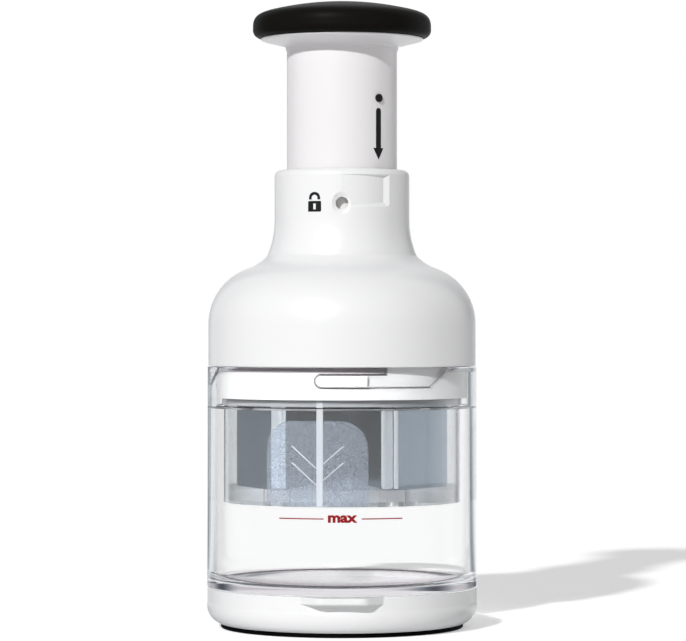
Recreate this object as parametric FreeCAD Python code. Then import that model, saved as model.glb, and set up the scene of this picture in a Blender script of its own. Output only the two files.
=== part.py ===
"""Push-down food chopper: a clear cup in a white base, and a twist-off head with a sprung plunger.

Pressing the knob drives a folded blade down through a slotted plate and turns it a little.
Sizes are in millimetres and angles in degrees. Z is up, the chopper stands on z = 0 and its axis
is the Z axis. The front, with the lock hole, faces -Y. Places round the axis are angles from the
front, positive towards +X.
"""
import FreeCAD
import Part
import math
import os

Vector = FreeCAD.Vector
UP = Vector(0, 0, 1)

# Clearances
running = 0.05          # a shaft in its bush, all round
sliding = 0.25          # a moulded piece that slides or turns in another
loose = 0.5             # pieces that pass each other freely
seat_gap = 0.3          # between a piece and what it rests or stops on
seam = 0.2              # visible joint between two mouldings
overlap = 0.5           # how far fused shapes reach into each other
margin = 1.0            # how far a cutting tool reaches past what it cuts

# Base
body_radius = 54.0
foot_height = 1.8
foot_width = 4.6
foot_inset = 0.3
foot_edge = 0.6
foot_tongue_height = 1.2
base_height = 14.4
base_wall = 3.2
base_floor = 2.8
base_edge_rise = 8.8
base_edge_run = 5.1
base_ledge_height = 4.1
base_ledge_width = 4.3
tab_width = 32.0
tab_front_width = 18.0
tab_reach = 5.2
tab_thickness = 2.8
tab_corner = 5.0
tab_edge = 0.6

# Cup
cup_height = 88.3
cup_wall = 2.5
cup_floor = 3.5
cup_floor_drop = 0.7
cup_floor_fillet = 4.0
cup_spigot_wall = 2.5
cup_edge = 0.5
rim_wall = 3.3
rim_depth = 15.8
rim_chamfer_width = 1.1
rim_chamfer_height = 2.0

# Bayonet
lug_count = 3
lug_width_angle = 21.6
lug_play_angle = 0.8
lug_height = 4.2
lug_reach = 1.7
lug_drop = 3.3
unlock_angle = 28.0
mouth_start_angle = 19.2
mouth_play_angle = 1.9
mouth_ramp_angle = 13.2

# Housing
housing_inset = 0.4
housing_wall = 2.4
drum_height = 16.6
shoulder_radius = 23.5
shoulder_end_angle = 19.0
crease_width = 2.95
crease_rise = 43.9
neck_height = 78.2
neck_straight = 20.0
neck_edge = 2.6
neck_lip = 3.0
skirt_wall = 1.8
skirt_depth = 12.8
housing_web = 2.5
bridge_recess = 1.6
ledge_width = 2.5
boss_count = 3
boss_angle = 60.0
boss_radius = 4.2
boss_inset = 19.6

# Lock
lock_angle = 40.9
lock_hole_diameter = 5.0
lock_hole_drop = 14.0
dimple_diameter = 9.6
pin_diameter = 3.3
pin_reach = 0.75
pin_head_height = 1.2
pin_head_side = 0.8
pocket_shift = 1.85
pocket_crease_angle = 37.1
pocket_wall_angle = 43.8
pocket_corner = 3.5
pocket_foot_drop = 15.4
pocket_foot_slope = 3.0
pocket_top_slope = 1.3
pocket_slope_depth = 1.9

# Plunger
tube_radius = 22.1
tube_wall = 2.2
tube_web = 2.8
tube_edge = 0.4
sleeve_wall = 2.15
sleeve_seat = 0.15
sleeve_length = 21.4
knob_clearance = 6.0
flare_height = 4.9
flare_width = 10.5
flare_slope = 2.3
flare_fillet = 1.7
flare_edge = 0.9
collar_step = 0.45
over_travel = 4.8
stop_ring_height = 2.4
stop_ring_reach = 2.1
stop_groove_depth = 0.8
stop_ring_split = 3.0
tube_toe = 1.2

# Knob
knob_overhang = 3.15
knob_height = 14.4
knob_dome_radius = 122.0
knob_skin = 3.4
knob_lip_run = 2.6
knob_lip_rise = 3.6
knob_shoulder_run = 10.5
knob_shoulder_drop = 9.9
knob_shoulder_pull = 0.69
knob_spigot = 6.4

# Bridge and guard track
bridge_thickness = 3.0
bridge_rib_height = 3.0
bridge_rib_width = 2.0
bridge_rib_count = 6
bridge_rib_end = 8.0
track_wall = 2.3
track_depth = 5.0
track_bead = 1.1
track_bead_height = 1.2
track_gap = 1.2
hub_height = 10.5
hub_wall = 3.0
hub_gap = 1.5

# Drive nut and ratchet
nut_length = 7.0
nut_bore_gap = 0.3
tooth_count = 12
tooth_height = 1.2
tooth_length = 5.25
tooth_share = 0.94
ratchet_thickness = 1.6
nut_spring_sheet = 0.5
nut_spring_width = 2.4
cap_thickness = 2.0
cap_edge = 0.6
cap_spigot_height = 1.0
cap_spigot_wall = 1.6

# Shaft
shaft_diameter = 7.0
shaft_flat_thickness = 3.6
shaft_journal_diameter = 5.0
shaft_twist_lead = 300.0
shaft_hole_gap = 1.0
shaft_collar_length = 4.0
shaft_end_length = 1.6
shaft_hub_rise = 4.0
flat_share = 0.32
carrier_flange = 2.5
carrier_hub_radius = 8.0
carrier_hub_length = 13.0
carrier_guide_height = 3.0
clip_thickness = 1.0
clip_width = 1.9
clip_groove_depth = 0.6
clip_split = 3.2

# Springs
coil_gap = 0.45
return_wire = 1.6
return_play = 2.3
return_turns = 11
buffer_wire = 2.2
buffer_play = 2.9
buffer_turns = 5
buffer_length = 25.3
washer_thickness = 2.0
washer_width = 7.15

# Blade
blade_turn = -4.3
blade_thickness = 0.7
blade_height = 33.7
blade_inset = 2.0
blade_bevel = 1.8
blade_edge_thickness = 0.12
blade_bend_radius = 1.6
blade_corner_gap = 2.5
blade_end_gap = 5.4
blade_fold_angle = 28.1
blade_end_angle = 85.0
blade_stop_gap = 0.3
plate_thickness = 3.0
plate_gap = 1.2
plate_hub_radius = 9.0
plate_hub_height = 9.5
plate_counterbore = 2.2
plate_web = 2.0
window_count = 4
window_inner_radius = 14.0
window_width = 16.0
window_half_angle = 16.0
window_margin = 3.0

# Screws
screw_edge = 0.8
screw_tip = 0.5
screw_slot_width = 0.8
screw_slot_share = 0.6
pilot_reserve = 1.0
bridge_screw_radius = 1.25
bridge_screw_head_radius = 3.0
bridge_screw_head_height = 2.2
bridge_screw_grip = 9.0
knob_screw_radius = 1.2
knob_screw_head_radius = 2.8
knob_screw_head_height = 2.0
knob_screw_grip = 8.0
knob_screw_distance = 7.5
knob_screw_count = 3
blade_screw_radius = 1.45
blade_screw_head_radius = 3.4
blade_screw_head_height = 2.0
blade_screw_length = 9.0

# Guard
guard_gap = 1.0
guard_wall = 1.3
guard_edge = 0.5
guard_flange = 2.0
guard_rib_width = 6.6
guard_rib_depth = 2.4
wiper_floor = 1.8
wiper_band = 6.5
wiper_band_wall = 0.6
wiper_slot_gap = 0.7
foot_block_width = 11.6
landing_gap = 0.7
pad_angle = -11.0
pad_half_angle = 24.5
pad_height = 33.4
pad_corner = 11.0
pad_reach = 0.45
chevron_reach = 0.3
chevron_half_span = 9.6
chevron_drop = 8.6
chevron_bar = 1.0
chevron_pitch = 6.4
chevron_rise = 14.6
seam_rib_width = 2.6
seam_rib_reach = 0.9

# Radii that follow from the sizes above, from the outside in
housing_radius = body_radius - housing_inset
cup_inner = body_radius - cup_wall
rim_inner = body_radius - rim_wall
foot_outer = body_radius - base_edge_run - foot_inset
foot_inner = foot_outer - foot_width
skirt_outer = rim_inner - loose
skirt_inner = skirt_outer - skirt_wall
lug_radius = skirt_outer + lug_reach
guard_radius = skirt_inner - guard_gap
guard_inner = guard_radius - guard_wall
track_bead_radius = guard_inner - track_gap
track_outer = track_bead_radius - track_bead
track_inner = track_outer - track_wall
plate_radius = guard_inner - plate_gap
window_outer_radius = window_inner_radius + window_width
boss_distance = housing_radius - boss_inset
tube_inner = tube_radius - tube_wall
sleeve_outer = tube_radius + sliding + sleeve_wall
neck_radius = sleeve_outer + sleeve_seat + housing_wall
crease_radius = neck_radius + crease_width
collar_radius = tube_radius + collar_step
flare_radius = tube_radius + flare_width
knob_radius = flare_radius + knob_overhang
stop_ring_outer = tube_radius + stop_ring_reach
return_radius = tube_inner - return_play - return_wire / 2
buffer_radius = tube_inner - buffer_play - buffer_wire / 2
washer_inner = tube_inner - sliding - washer_width
hub_radius = return_radius - return_wire / 2 - hub_gap
nut_radius = hub_radius - hub_wall - sliding
tooth_inner_radius = nut_radius - tooth_length
nut_spring_outer = nut_radius - cap_spigot_wall - sliding
nut_spring_inner = nut_spring_outer - nut_spring_width
shaft_hole_radius = shaft_diameter / 2 + shaft_hole_gap
journal_radius = shaft_journal_diameter / 2
clip_radius = journal_radius + clip_width
pin_groove_radius = tube_radius + pin_reach + loose

# Levels that follow from the sizes above, from the table up
base_top = foot_height + base_height
base_floor_top = foot_height + base_floor
base_ledge_top = base_floor_top + base_ledge_height
cup_bottom = base_top + seam
cup_top = base_top + cup_height
floor_top = base_top + cup_floor - cup_floor_drop
housing_bottom = cup_top + seat_gap
lug_top = housing_bottom - lug_drop
lug_bottom = lug_top - lug_height
shoulder_centre = housing_bottom + drum_height
neck_top = housing_bottom + neck_height
sleeve_top = neck_top - neck_lip
sleeve_bottom = sleeve_top - sleeve_length
bridge_top = housing_bottom - bridge_recess - seam
bridge_bottom = bridge_top - bridge_thickness
ledge_bottom = bridge_top + seam
track_bottom = bridge_bottom - track_depth
hub_top = bridge_top + hub_height

plate_bottom = bridge_bottom - seat_gap - plate_hub_height
plate_top = plate_bottom + plate_thickness
plate_hub_top = plate_bottom + plate_hub_height
socket_bottom = plate_bottom + plate_counterbore + plate_web
blade_edge = plate_bottom - blade_height
blade_travel = blade_edge - floor_top - blade_stop_gap
plunger_travel = blade_travel + over_travel
wiper_top = plate_bottom - blade_travel - landing_gap
guard_bottom = wiper_top - wiper_floor
guard_top = track_bottom + track_bead_height + seat_gap + guard_flange

flare_start = neck_top + plunger_travel + knob_clearance
flare_top = flare_start + flare_height
web_top = flare_top - knob_spigot
web_bottom = web_top - tube_web
tube_bottom = sleeve_bottom - seat_gap - stop_ring_height - tube_toe
lock_level = neck_top - lock_hole_drop
pin_level = lock_level + plunger_travel
washer_bottom = web_bottom - seam - washer_thickness
carrier_top = washer_bottom - buffer_length - 2 * seat_gap
carrier_bottom = carrier_top - carrier_flange
shaft_shoulder = carrier_top + shaft_hub_rise - carrier_hub_length

# Angles that follow
mouth_floor_angle = unlock_angle + lug_width_angle / 2 + mouth_play_angle
tooth_pitch_angle = 360.0 / tooth_count
twist_per_travel = 360.0 / shaft_twist_lead


def polar(radius, angle, z):
    """The point at this radius, angle from the front and height."""
    a = math.radians(angle)
    return Vector(radius * math.sin(a), -radius * math.cos(a), z)


def turned(shape, angle):
    """A copy of the shape turned about the axis."""
    copy = shape.copy()
    copy.rotate(Vector(0, 0, 0), UP, angle)
    return copy


def ring_of(shape, count, first=0.0):
    """Copies of the shape, evenly spaced round the axis."""
    return [turned(shape, first + i * 360.0 / count) for i in range(count)]


def rounded(points, place):
    """A closed wire through (u, v, corner radius) points, each put in space by place(u, v)."""
    edges = []
    starts = []
    ends = []
    middles = []
    count = len(points)
    for i, (u, v, radius) in enumerate(points):
        here = Vector(u, v, 0)
        back = (Vector(*points[i - 1][:2], 0) - here).normalize()
        ahead = (Vector(*points[(i + 1) % count][:2], 0) - here).normalize()
        if radius <= 0:
            starts.append(here)
            ends.append(here)
            middles.append(None)
            continue
        half = back.getAngle(ahead) / 2
        reach = radius / math.tan(half)
        centre = here + (back + ahead).normalize() * (radius / math.sin(half))
        starts.append(here + back * reach)
        ends.append(here + ahead * reach)
        middles.append(centre + (here - centre).normalize() * radius)
    for i in range(count):
        if middles[i] is not None:
            arc = [place(p.x, p.y) for p in (starts[i], middles[i], ends[i])]
            edges.append(Part.Arc(*arc).toShape())
        start, end = ends[i], starts[(i + 1) % count]
        if start.distanceToPoint(end) > 1e-6:
            edges.append(Part.makeLine(place(start.x, start.y), place(end.x, end.y)))
    return Part.Wire(edges)


def lathe(points, angle=360.0):
    """A solid turned from a closed (radius, height, corner radius) outline."""
    wire = rounded(points, lambda r, z: Vector(r, 0, z))
    return Part.Face(wire).revolve(Vector(0, 0, 0), UP, angle)


def ring(inner, outer, bottom, top):
    """A plain ring, or a disc where inner is 0."""
    body = Part.makeCylinder(outer, top - bottom, Vector(0, 0, bottom))
    if inner > 0:
        body = body.cut(Part.makeCylinder(inner, top - bottom, Vector(0, 0, bottom)))
    return body


def sector(inner, outer, bottom, top, first, last):
    """The part of a ring between two angles from the front."""
    points = [(inner, bottom, 0), (outer, bottom, 0), (outer, top, 0), (inner, top, 0)]
    return turned(lathe(points, last - first), first - 90.0)


def upright(radius, bottom, top, distance=0.0, angle=0.0):
    """A cylinder parallel to the axis, at a distance from it."""
    return Part.makeCylinder(radius, top - bottom, polar(distance, angle, bottom))


def spoke(radius, inner, outer, angle, z):
    """A cylinder that points outwards from the axis."""
    start = polar(inner, angle, z)
    return Part.makeCylinder(radius, outer - inner, start, polar(1, angle, 0))


def radial_bar(width, inner, outer, bottom, top, angle):
    """A straight bar from the inner to the outer radius, at an angle from the front."""
    bar = Part.makeBox(width, outer - inner, top - bottom, Vector(-width / 2, -outer, bottom))
    return turned(bar, angle)


def extruded(points, bottom, top):
    """A solid of constant section from a closed (x, y, corner radius) outline."""
    wire = rounded(points, lambda x, y: Vector(x, y, bottom))
    return Part.Face(wire).extrude(Vector(0, 0, top - bottom))


def fused(first, others):
    """One solid from a shape and a list of shapes."""
    return first.multiFuse(others).removeSplitter()


def smooth_arc(start, corner, end):
    """The arc between two points whose tangents meet at the corner."""
    share = (end - start).Length / (2 * (corner - start).Length)
    top = (start + end + corner * (2 * share)) / (2 + 2 * share)
    return Part.Arc(start, top, end).toShape()


def biarc(start, start_way, end, end_way):
    """Two arcs that meet smoothly and leave both points along the given directions."""
    chord = end - start
    both = start_way + end_way
    square = both.dot(both) - 4
    cross = chord.dot(both)
    reach = (cross - math.sqrt(cross ** 2 - square * chord.dot(chord))) / square
    first = start + start_way * reach
    last = end - end_way * reach
    middle = (first + last) / 2
    return [smooth_arc(start, first, middle), smooth_arc(middle, last, end)]


def coil(wire, radius, bottom, top, turns):
    """A compression spring between two levels, its end turns closed up."""
    low = bottom + wire / 2
    high = top - wire / 2
    closed = wire + coil_gap
    pitch = (high - low - 2 * closed) / (turns - 2)
    quarters = 4 * turns
    rises = [(closed if i < 4 or i >= quarters - 4 else pitch) / 4 for i in range(quarters)]
    slopes = [rises[0]] + [(a + b) / 2 for a, b in zip(rises, rises[1:])] + [rises[-1]]
    points = []
    ways = []
    for i, slope in enumerate(slopes):
        a = math.radians(90.0 * i)
        points.append(Vector(radius * math.cos(a), radius * math.sin(a), low + sum(rises[:i])))
        quarter = radius * math.pi / 2
        ways.append(Vector(-quarter * math.sin(a), quarter * math.cos(a), slope).normalize())
    edges = []
    for i in range(quarters):
        edges += biarc(points[i], ways[i], points[i + 1], ways[i + 1])
    shell = Part.BRepOffsetAPI.MakePipeShell(Part.Wire(edges))
    shell.add(Part.Wire([Part.makeCircle(wire / 2, points[0], ways[0])]))
    shell.build()
    shell.makeSolid()
    gaps = [(points[i + 4] - points[i]).Length - wire for i in range(quarters - 3)]
    print("coil", round(radius, 2), "least gap to itself", round(min(gaps), 3))
    return shell.shape()


# Base


def make_base_boot():
    """White shell under the cup: rounded lower edge, ledge for the cup's spigot, thumb tab."""
    inner = body_radius - base_wall
    ledge_inner = inner - base_ledge_width
    edge_foot = body_radius - base_edge_run
    edge_top = foot_height + base_edge_rise
    turn = math.sqrt(0.5)
    middle = Vector(edge_foot + base_edge_run * turn, 0, edge_top - base_edge_rise * turn)
    start = Vector(edge_foot, 0, foot_height)
    end = Vector(body_radius, 0, edge_top)
    outside = [Part.Arc(start, middle, end).toShape(), Part.makeLine(end, Vector(body_radius, 0, base_top))]
    inside = polyline([
        (body_radius, base_top), (inner, base_top), (inner, base_ledge_top), (ledge_inner, base_ledge_top),
        (ledge_inner, base_floor_top), (0, base_floor_top), (0, foot_height), (edge_foot, foot_height)])
    body = Part.Face(Part.Wire(outside + inside)).revolve(Vector(0, 0, 0), UP, 360)
    tongue = foot_width / 4
    groove_top = foot_height + foot_tongue_height
    body = body.cut(ring(foot_inner + tongue, foot_outer - tongue, foot_height, groove_top))
    return fused(body, [thumb_tab()])


def tab_outline(reach):
    """Plan of the thumb tab, its front corners rounded, reaching this far out of the wall."""
    half = tab_width / 2
    front_half = tab_front_width / 2
    root = -math.sqrt(body_radius ** 2 - half ** 2)
    front = -(body_radius + reach)
    return [
        (-half, root, 0), (-front_half, front, tab_corner), (front_half, front, tab_corner),
        (half, root, 0), (half, root + base_wall, 0), (-half, root + base_wall, 0)]


def thumb_tab():
    """Tab at the front of the boot's upper edge, bevelled below, for pulling the boot off."""
    low = base_top - tab_thickness
    bevel = low + tab_edge
    wires = []
    for reach, z in ((tab_reach - tab_edge, low), (tab_reach, bevel)):
        wires.append(rounded(tab_outline(reach), lambda x, y: Vector(x, y, z)))
    foot = Part.makeLoft(wires, True, True)
    tab = extruded(tab_outline(tab_reach), bevel, base_top).fuse(foot)
    room = upright(body_radius - overlap, low - margin, base_top + margin)
    return tab.cut(room)


def make_foot_ring():
    """Rubber ring under the base, with a tongue up into its groove."""
    tongue = foot_width / 4
    tongue_outer = foot_outer - tongue - seam
    tongue_inner = foot_inner + tongue + seam
    tongue_top = foot_height + foot_tongue_height - seam
    points = [
        (foot_inner, 0, foot_edge), (foot_outer, 0, foot_edge), (foot_outer, foot_height, 0),
        (tongue_outer, foot_height, 0), (tongue_outer, tongue_top, 0), (tongue_inner, tongue_top, 0),
        (tongue_inner, foot_height, 0), (foot_inner, foot_height, 0)]
    return lathe(points)


# Cup


def radial_prism(corners, inner, outer):
    """A prism between two radii from its (angle, height) corners, its sides radial."""
    wires = []
    for radius in (inner, outer):
        points = [polar(radius, angle, z) for angle, z in corners]
        wires.append(Part.makePolygon(points + points[:1]))
    return Part.makeLoft(wires, True, True)


def channel_tool():
    """One bayonet channel: a level slot closed at the left, its mouth ramped up to the rim at the right."""
    deep = lug_radius + loose
    inside = rim_inner - margin
    low = lug_bottom - seat_gap
    high = cup_top + margin
    left = -lug_width_angle / 2 - lug_play_angle
    slot = sector(inside, deep, low, lug_top + seat_gap, left, mouth_floor_angle)
    mouth = sector(inside, deep, low, high, mouth_start_angle, mouth_floor_angle)
    run = mouth_ramp_angle * (high - low) / (cup_top - low)
    start = mouth_floor_angle - mouth_play_angle / 10
    corners = [(start, low), (mouth_floor_angle + run, high), (start, high)]
    ramp = radial_prism(corners, inside - margin, deep + margin).common(ring(inside, deep, low, high))
    return fused(slot, [mouth, ramp])


def make_cup():
    """Clear cup with a thick floor, a spigot for the base and a thicker rim with the channels."""
    ledge_z = cup_top - rim_depth
    step = rim_wall - cup_wall
    spigot_outer = body_radius - base_wall - sliding
    spigot_inner = spigot_outer - cup_spigot_wall
    spigot_bottom = base_ledge_top + seat_gap
    underside = floor_top - cup_floor
    points = [
        (0, underside, 0), (spigot_inner, underside, cup_edge), (spigot_inner, spigot_bottom, 0),
        (spigot_outer, spigot_bottom, cup_edge), (spigot_outer, cup_bottom, 0),
        (body_radius, cup_bottom, cup_edge), (body_radius, cup_top, cup_edge),
        (rim_inner + rim_chamfer_width, cup_top, 0), (rim_inner, cup_top - rim_chamfer_height, 0),
        (rim_inner, ledge_z, 0), (cup_inner, ledge_z - step, 0),
        (cup_inner, floor_top, cup_floor_fillet), (0, floor_top, 0)]
    body = lathe(points)
    for tool in ring_of(channel_tool(), lug_count):
        body = body.cut(tool)
    return body


# Head


def housing_curve(skin):
    """Edges from the drum up over the shoulder to the neck, moved inwards by a skin thickness."""
    centre = Vector(housing_radius - shoulder_radius, 0, shoulder_centre)
    radius = shoulder_radius - skin
    a = math.radians(shoulder_end_angle)
    outward = Vector(math.sin(a), 0, math.cos(a))
    crease = Vector(crease_radius, 0, housing_bottom + crease_rise)
    blend = centre + outward * shoulder_radius
    chord = blend - crease
    fillet = -chord.dot(chord) / (2 * chord.dot(outward))
    fillet_centre = blend + outward * fillet
    to_crease = (crease - fillet_centre).normalize()
    flare_z = neck_top - neck_straight
    rise = flare_z - crease.z
    run = crease.x - neck_radius
    flare = (run ** 2 + rise ** 2) / (2 * run)
    flare_centre = Vector(neck_radius + flare, 0, flare_z)
    from_crease = (crease - flare_centre).normalize()
    drum_point = centre + Vector(1, 0, 0) * radius
    shoulder_middle = centre + (Vector(1, 0, 0) + outward).normalize() * radius
    blend_point = centre + outward * radius
    fillet_end = fillet_centre + to_crease * (fillet + skin)
    fillet_middle = fillet_centre + (to_crease - outward).normalize() * (fillet + skin)
    flare_start_point = flare_centre + from_crease * (flare + skin)
    flare_middle = flare_centre + (from_crease - Vector(1, 0, 0)).normalize() * (flare + skin)
    flare_end = flare_centre - Vector(1, 0, 0) * (flare + skin)
    edges = [
        Part.Arc(drum_point, shoulder_middle, blend_point).toShape(),
        Part.Arc(blend_point, fillet_middle, fillet_end).toShape(),
        Part.Arc(flare_start_point, flare_middle, flare_end).toShape()]
    if fillet_end.distanceToPoint(flare_start_point) > 1e-6:
        edges.insert(2, Part.makeLine(fillet_end, flare_start_point))
    return edges, drum_point, flare_end


def polyline(points):
    """Straight edges through a list of (radius, height) pairs."""
    places = [p if isinstance(p, Vector) else Vector(p[0], 0, p[1]) for p in points]
    return [Part.makeLine(a, b) for a, b in zip(places, places[1:])]


def make_lug():
    """One bayonet lug on the skirt, its leading end rounded."""
    half = lug_width_angle / 2
    nose = lug_height / 2
    nose_angle = math.degrees(nose / lug_radius) - half
    root = skirt_outer - overlap
    bar = sector(root, lug_radius, lug_bottom, lug_top, nose_angle, half)
    end = spoke(nose, root - margin, lug_radius + margin, nose_angle, lug_bottom + nose)
    return bar.fuse(end.common(ring(root, lug_radius, lug_bottom, lug_top)))


def make_housing():
    """White shell with neck, shoulder and drum, skirt with lugs, screw bosses and the lock hole."""
    outer, drum, neck = housing_curve(0.0)
    inner, inner_drum, inner_neck = housing_curve(housing_wall)
    web_z = housing_bottom + housing_web
    ledge_inner = skirt_inner - ledge_width
    skirt_bottom = housing_bottom - skirt_depth
    edge = neck_top - neck_edge
    rim = Vector(neck_radius - neck_edge, 0, neck_top)
    turn = neck_edge * math.sqrt(0.5)
    rim_middle = Vector(neck_radius - neck_edge + turn, 0, edge + turn)
    lip_bore = tube_radius + loose
    lip_bottom = neck_top - neck_lip
    outside = polyline([(housing_radius, housing_bottom), drum]) + outer
    outside += polyline([neck, (neck_radius, edge)])
    outside.append(Part.Arc(Vector(neck_radius, 0, edge), rim_middle, rim).toShape())
    inside = polyline([
        rim, (lip_bore, neck_top), (lip_bore, lip_bottom), (inner_neck.x, lip_bottom), inner_neck])
    inside += inner[::-1]
    inside += polyline([
        inner_drum, (inner_drum.x, web_z), (ledge_inner, web_z), (ledge_inner, ledge_bottom),
        (skirt_inner, ledge_bottom), (skirt_inner, skirt_bottom), (skirt_outer, skirt_bottom),
        (skirt_outer, housing_bottom), (housing_radius, housing_bottom)])
    wire = Part.Wire(Part.sortEdges(outside + inside)[0])
    body = Part.Face(wire).revolve(Vector(0, 0, 0), UP, 360)
    boss_reach = boss_distance + boss_radius - (housing_radius - shoulder_radius)
    boss_top = shoulder_centre + math.sqrt(shoulder_radius ** 2 - boss_reach ** 2) - overlap
    boss = upright(boss_radius, ledge_bottom, boss_top, boss_distance, boss_angle)
    body = fused(body, ring_of(boss, boss_count) + ring_of(make_lug(), lug_count))
    pilot_top = ledge_bottom + bridge_screw_grip + pilot_reserve
    pilot = upright(bridge_screw_radius + running, ledge_bottom, pilot_top, boss_distance, boss_angle)
    for hole in ring_of(pilot, boss_count):
        body = body.cut(hole)
    body = body.cut(pocket_tool())
    hole = spoke(lock_hole_diameter / 2, tube_radius, neck_radius + margin, 0.0, lock_level)
    depth = (dimple_diameter - lock_hole_diameter) / 4
    tip = polar(neck_radius - depth, 0, lock_level)
    flare = dimple_diameter / 2 + 2 * depth
    dimple = Part.makeCone(lock_hole_diameter / 2, flare, 2 * depth + seat_gap, tip, Vector(0, -1, 0))
    way = radial_bar(
        pin_diameter + 2 * loose, tube_radius - margin, pin_groove_radius, lip_bottom - margin,
        neck_top + margin, lock_angle)
    return body.cut(hole).cut(dimple).cut(way)


def pocket_tool():
    """The shallow pocket in the neck: it fades out beside the hole and ends in sloping walls."""
    foot = neck_top - pocket_foot_drop
    top = neck_top - neck_edge
    wall = polar(neck_radius, pocket_wall_angle, 0)
    crease_x = polar(neck_radius, pocket_crease_angle, 0).x
    crease_y = -math.sqrt(neck_radius ** 2 - (crease_x + pocket_shift) ** 2)
    slope = (wall.y - crease_y) / (wall.x - crease_x)
    end_x = wall.x + margin
    end_y = wall.y + slope * margin
    outline = [
        (0, foot, 0), (end_x, foot, pocket_corner), (end_x, top, pocket_top_slope), (0, top, 0)]
    wire = rounded(outline, lambda x, z: Vector(x, 0, z))
    block = Part.Face(wire).extrude(Vector(0, -2 * neck_radius, 0))
    bottom = foot - margin
    floor = Part.makeCylinder(neck_radius, top - foot + 2 * margin, Vector(-pocket_shift, 0, bottom))
    side = [(crease_x, crease_y, 0), (end_x, end_y, 0), (end_x, 0, 0), (crease_x, 0, 0)]
    shallow = neck_radius - pocket_slope_depth
    low = Part.makeCone(neck_radius, shallow, pocket_foot_slope, Vector(0, 0, foot))
    high = Part.makeCone(shallow, neck_radius, pocket_top_slope, Vector(0, 0, top - pocket_top_slope))
    for keep in (floor, extruded(side, bottom, top + margin), low, high):
        block = block.cut(keep)
    return block


def make_guide_sleeve():
    """Liner in the neck with the L-shaped groove that the lock pin runs in."""
    inner = tube_radius + sliding
    body = ring(inner, sleeve_outer, sleeve_bottom, sleeve_top - seam)
    half = pin_diameter / 2 + loose
    low = lock_level - half
    half_angle = math.degrees(half / pin_groove_radius)
    down = radial_bar(2 * half, inner - margin, pin_groove_radius, low, neck_top, lock_angle)
    across = sector(inner - margin, pin_groove_radius, low, lock_level + half, -half_angle, lock_angle)
    hole = spoke(lock_hole_diameter / 2, inner - margin, sleeve_outer + margin, 0.0, lock_level)
    return body.cut(down).cut(across).cut(hole)


def make_inner_bridge():
    """Plate that closes the housing: hub for the nut, ribs, screw holes and the guard's track."""
    radius = skirt_inner - sliding
    bead_top = track_bottom + track_bead_height
    bead_edge = track_bead_height / 3
    hub_inner = hub_radius - hub_wall
    points = [
        (shaft_hole_radius, bridge_bottom, 0), (track_inner, bridge_bottom, 0),
        (track_inner, track_bottom, 0), (track_bead_radius, track_bottom, bead_edge),
        (track_bead_radius, bead_top, bead_edge), (track_outer, bead_top, 0),
        (track_outer, bridge_bottom, 0), (radius, bridge_bottom, 0), (radius, bridge_top, 0),
        (hub_radius, bridge_top, 0), (hub_radius, hub_top, 0), (hub_inner, hub_top, 0),
        (hub_inner, bridge_top, 0), (shaft_hole_radius, bridge_top, 0)]
    body = lathe(points)
    rib_start = return_radius + return_wire / 2 + hub_gap
    rib_end = boss_distance + bridge_rib_end
    rib_top = bridge_top + bridge_rib_height
    rib = radial_bar(bridge_rib_width, rib_start, rib_end, bridge_top - overlap, rib_top, 0)
    body = fused(body, ring_of(rib, bridge_rib_count, boss_angle / 2))
    room = upright(boss_radius + loose, bridge_top, rib_top + margin, boss_distance, boss_angle)
    hole_radius = bridge_screw_radius + loose
    hole = upright(hole_radius, bridge_bottom - margin, bridge_top + margin, boss_distance, boss_angle)
    for tool in ring_of(room, boss_count) + ring_of(hole, boss_count):
        body = body.cut(tool)
    return body


def screw(head_radius, head_height, shank_radius, length, seat_z):
    """A pan-head screw pointing up, its head under the seat."""
    low = seat_z - head_height
    points = [
        (0, low, 0), (head_radius, low, screw_edge), (head_radius, seat_z, 0), (shank_radius, seat_z, 0),
        (shank_radius, seat_z + length, screw_tip), (0, seat_z + length, 0)]
    corner = Vector(-head_radius / 2, -screw_slot_width / 2, low)
    slot = Part.makeBox(head_radius, screw_slot_width, head_height * screw_slot_share, corner)
    return lathe(points).cut(slot).cut(turned(slot, 90.0))


def make_bridge_screws():
    """Three screws up through the bridge into the housing's bosses."""
    length = bridge_thickness + seam + bridge_screw_grip
    one = screw(
        bridge_screw_head_radius, bridge_screw_head_height, bridge_screw_radius, length, bridge_bottom)
    one.translate(polar(boss_distance, boss_angle, 0))
    return Part.makeCompound(ring_of(one, boss_count))


def saw_teeth(first, last, tip, base_z, tip_z):
    """Saw teeth round the axis, each between two angles, with its tip at a third angle."""
    corners = [(first, base_z), (last, base_z), (tip, tip_z)]
    return ring_of(radial_prism(corners, tooth_inner_radius, nut_radius), tooth_count)


def make_ratchet_ring():
    """Ring with saw teeth, fixed in the bottom of the bridge's hub."""
    top = bridge_top + ratchet_thickness
    body = ring(shaft_hole_radius, nut_radius, bridge_top, top)
    return fused(body, saw_teeth(0.0, tooth_share * tooth_pitch_angle, 0.0, top, top + tooth_height))


def twisted_bar(width, thickness, bottom, top):
    """A round-edged flat bar twisted about the axis, in step with every other such bar."""
    spine = Part.Wire([Part.makeLine(Vector(0, 0, bottom), Vector(0, 0, top))])
    guide = Part.Wire([Part.makeHelix(shaft_twist_lead, top - bottom, width, 0, True)])
    guide.translate(Vector(0, 0, bottom))
    disc = Part.Face(Part.Wire([Part.makeCircle(width / 2)]))
    flat = disc.common(Part.makeBox(2 * width, thickness, 1, Vector(-width, -thickness / 2, -0.5)))
    section = flat.Faces[0].OuterWire.copy()
    section.rotate(Vector(0, 0, 0), UP, -bottom * twist_per_travel)
    section.translate(Vector(0, 0, bottom))
    shell = Part.BRepOffsetAPI.MakePipeShell(spine)
    shell.setAuxiliarySpine(guide, True, 0)
    shell.add(section, False, False)
    shell.build()
    shell.makeSolid()
    return shell.shape()


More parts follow.
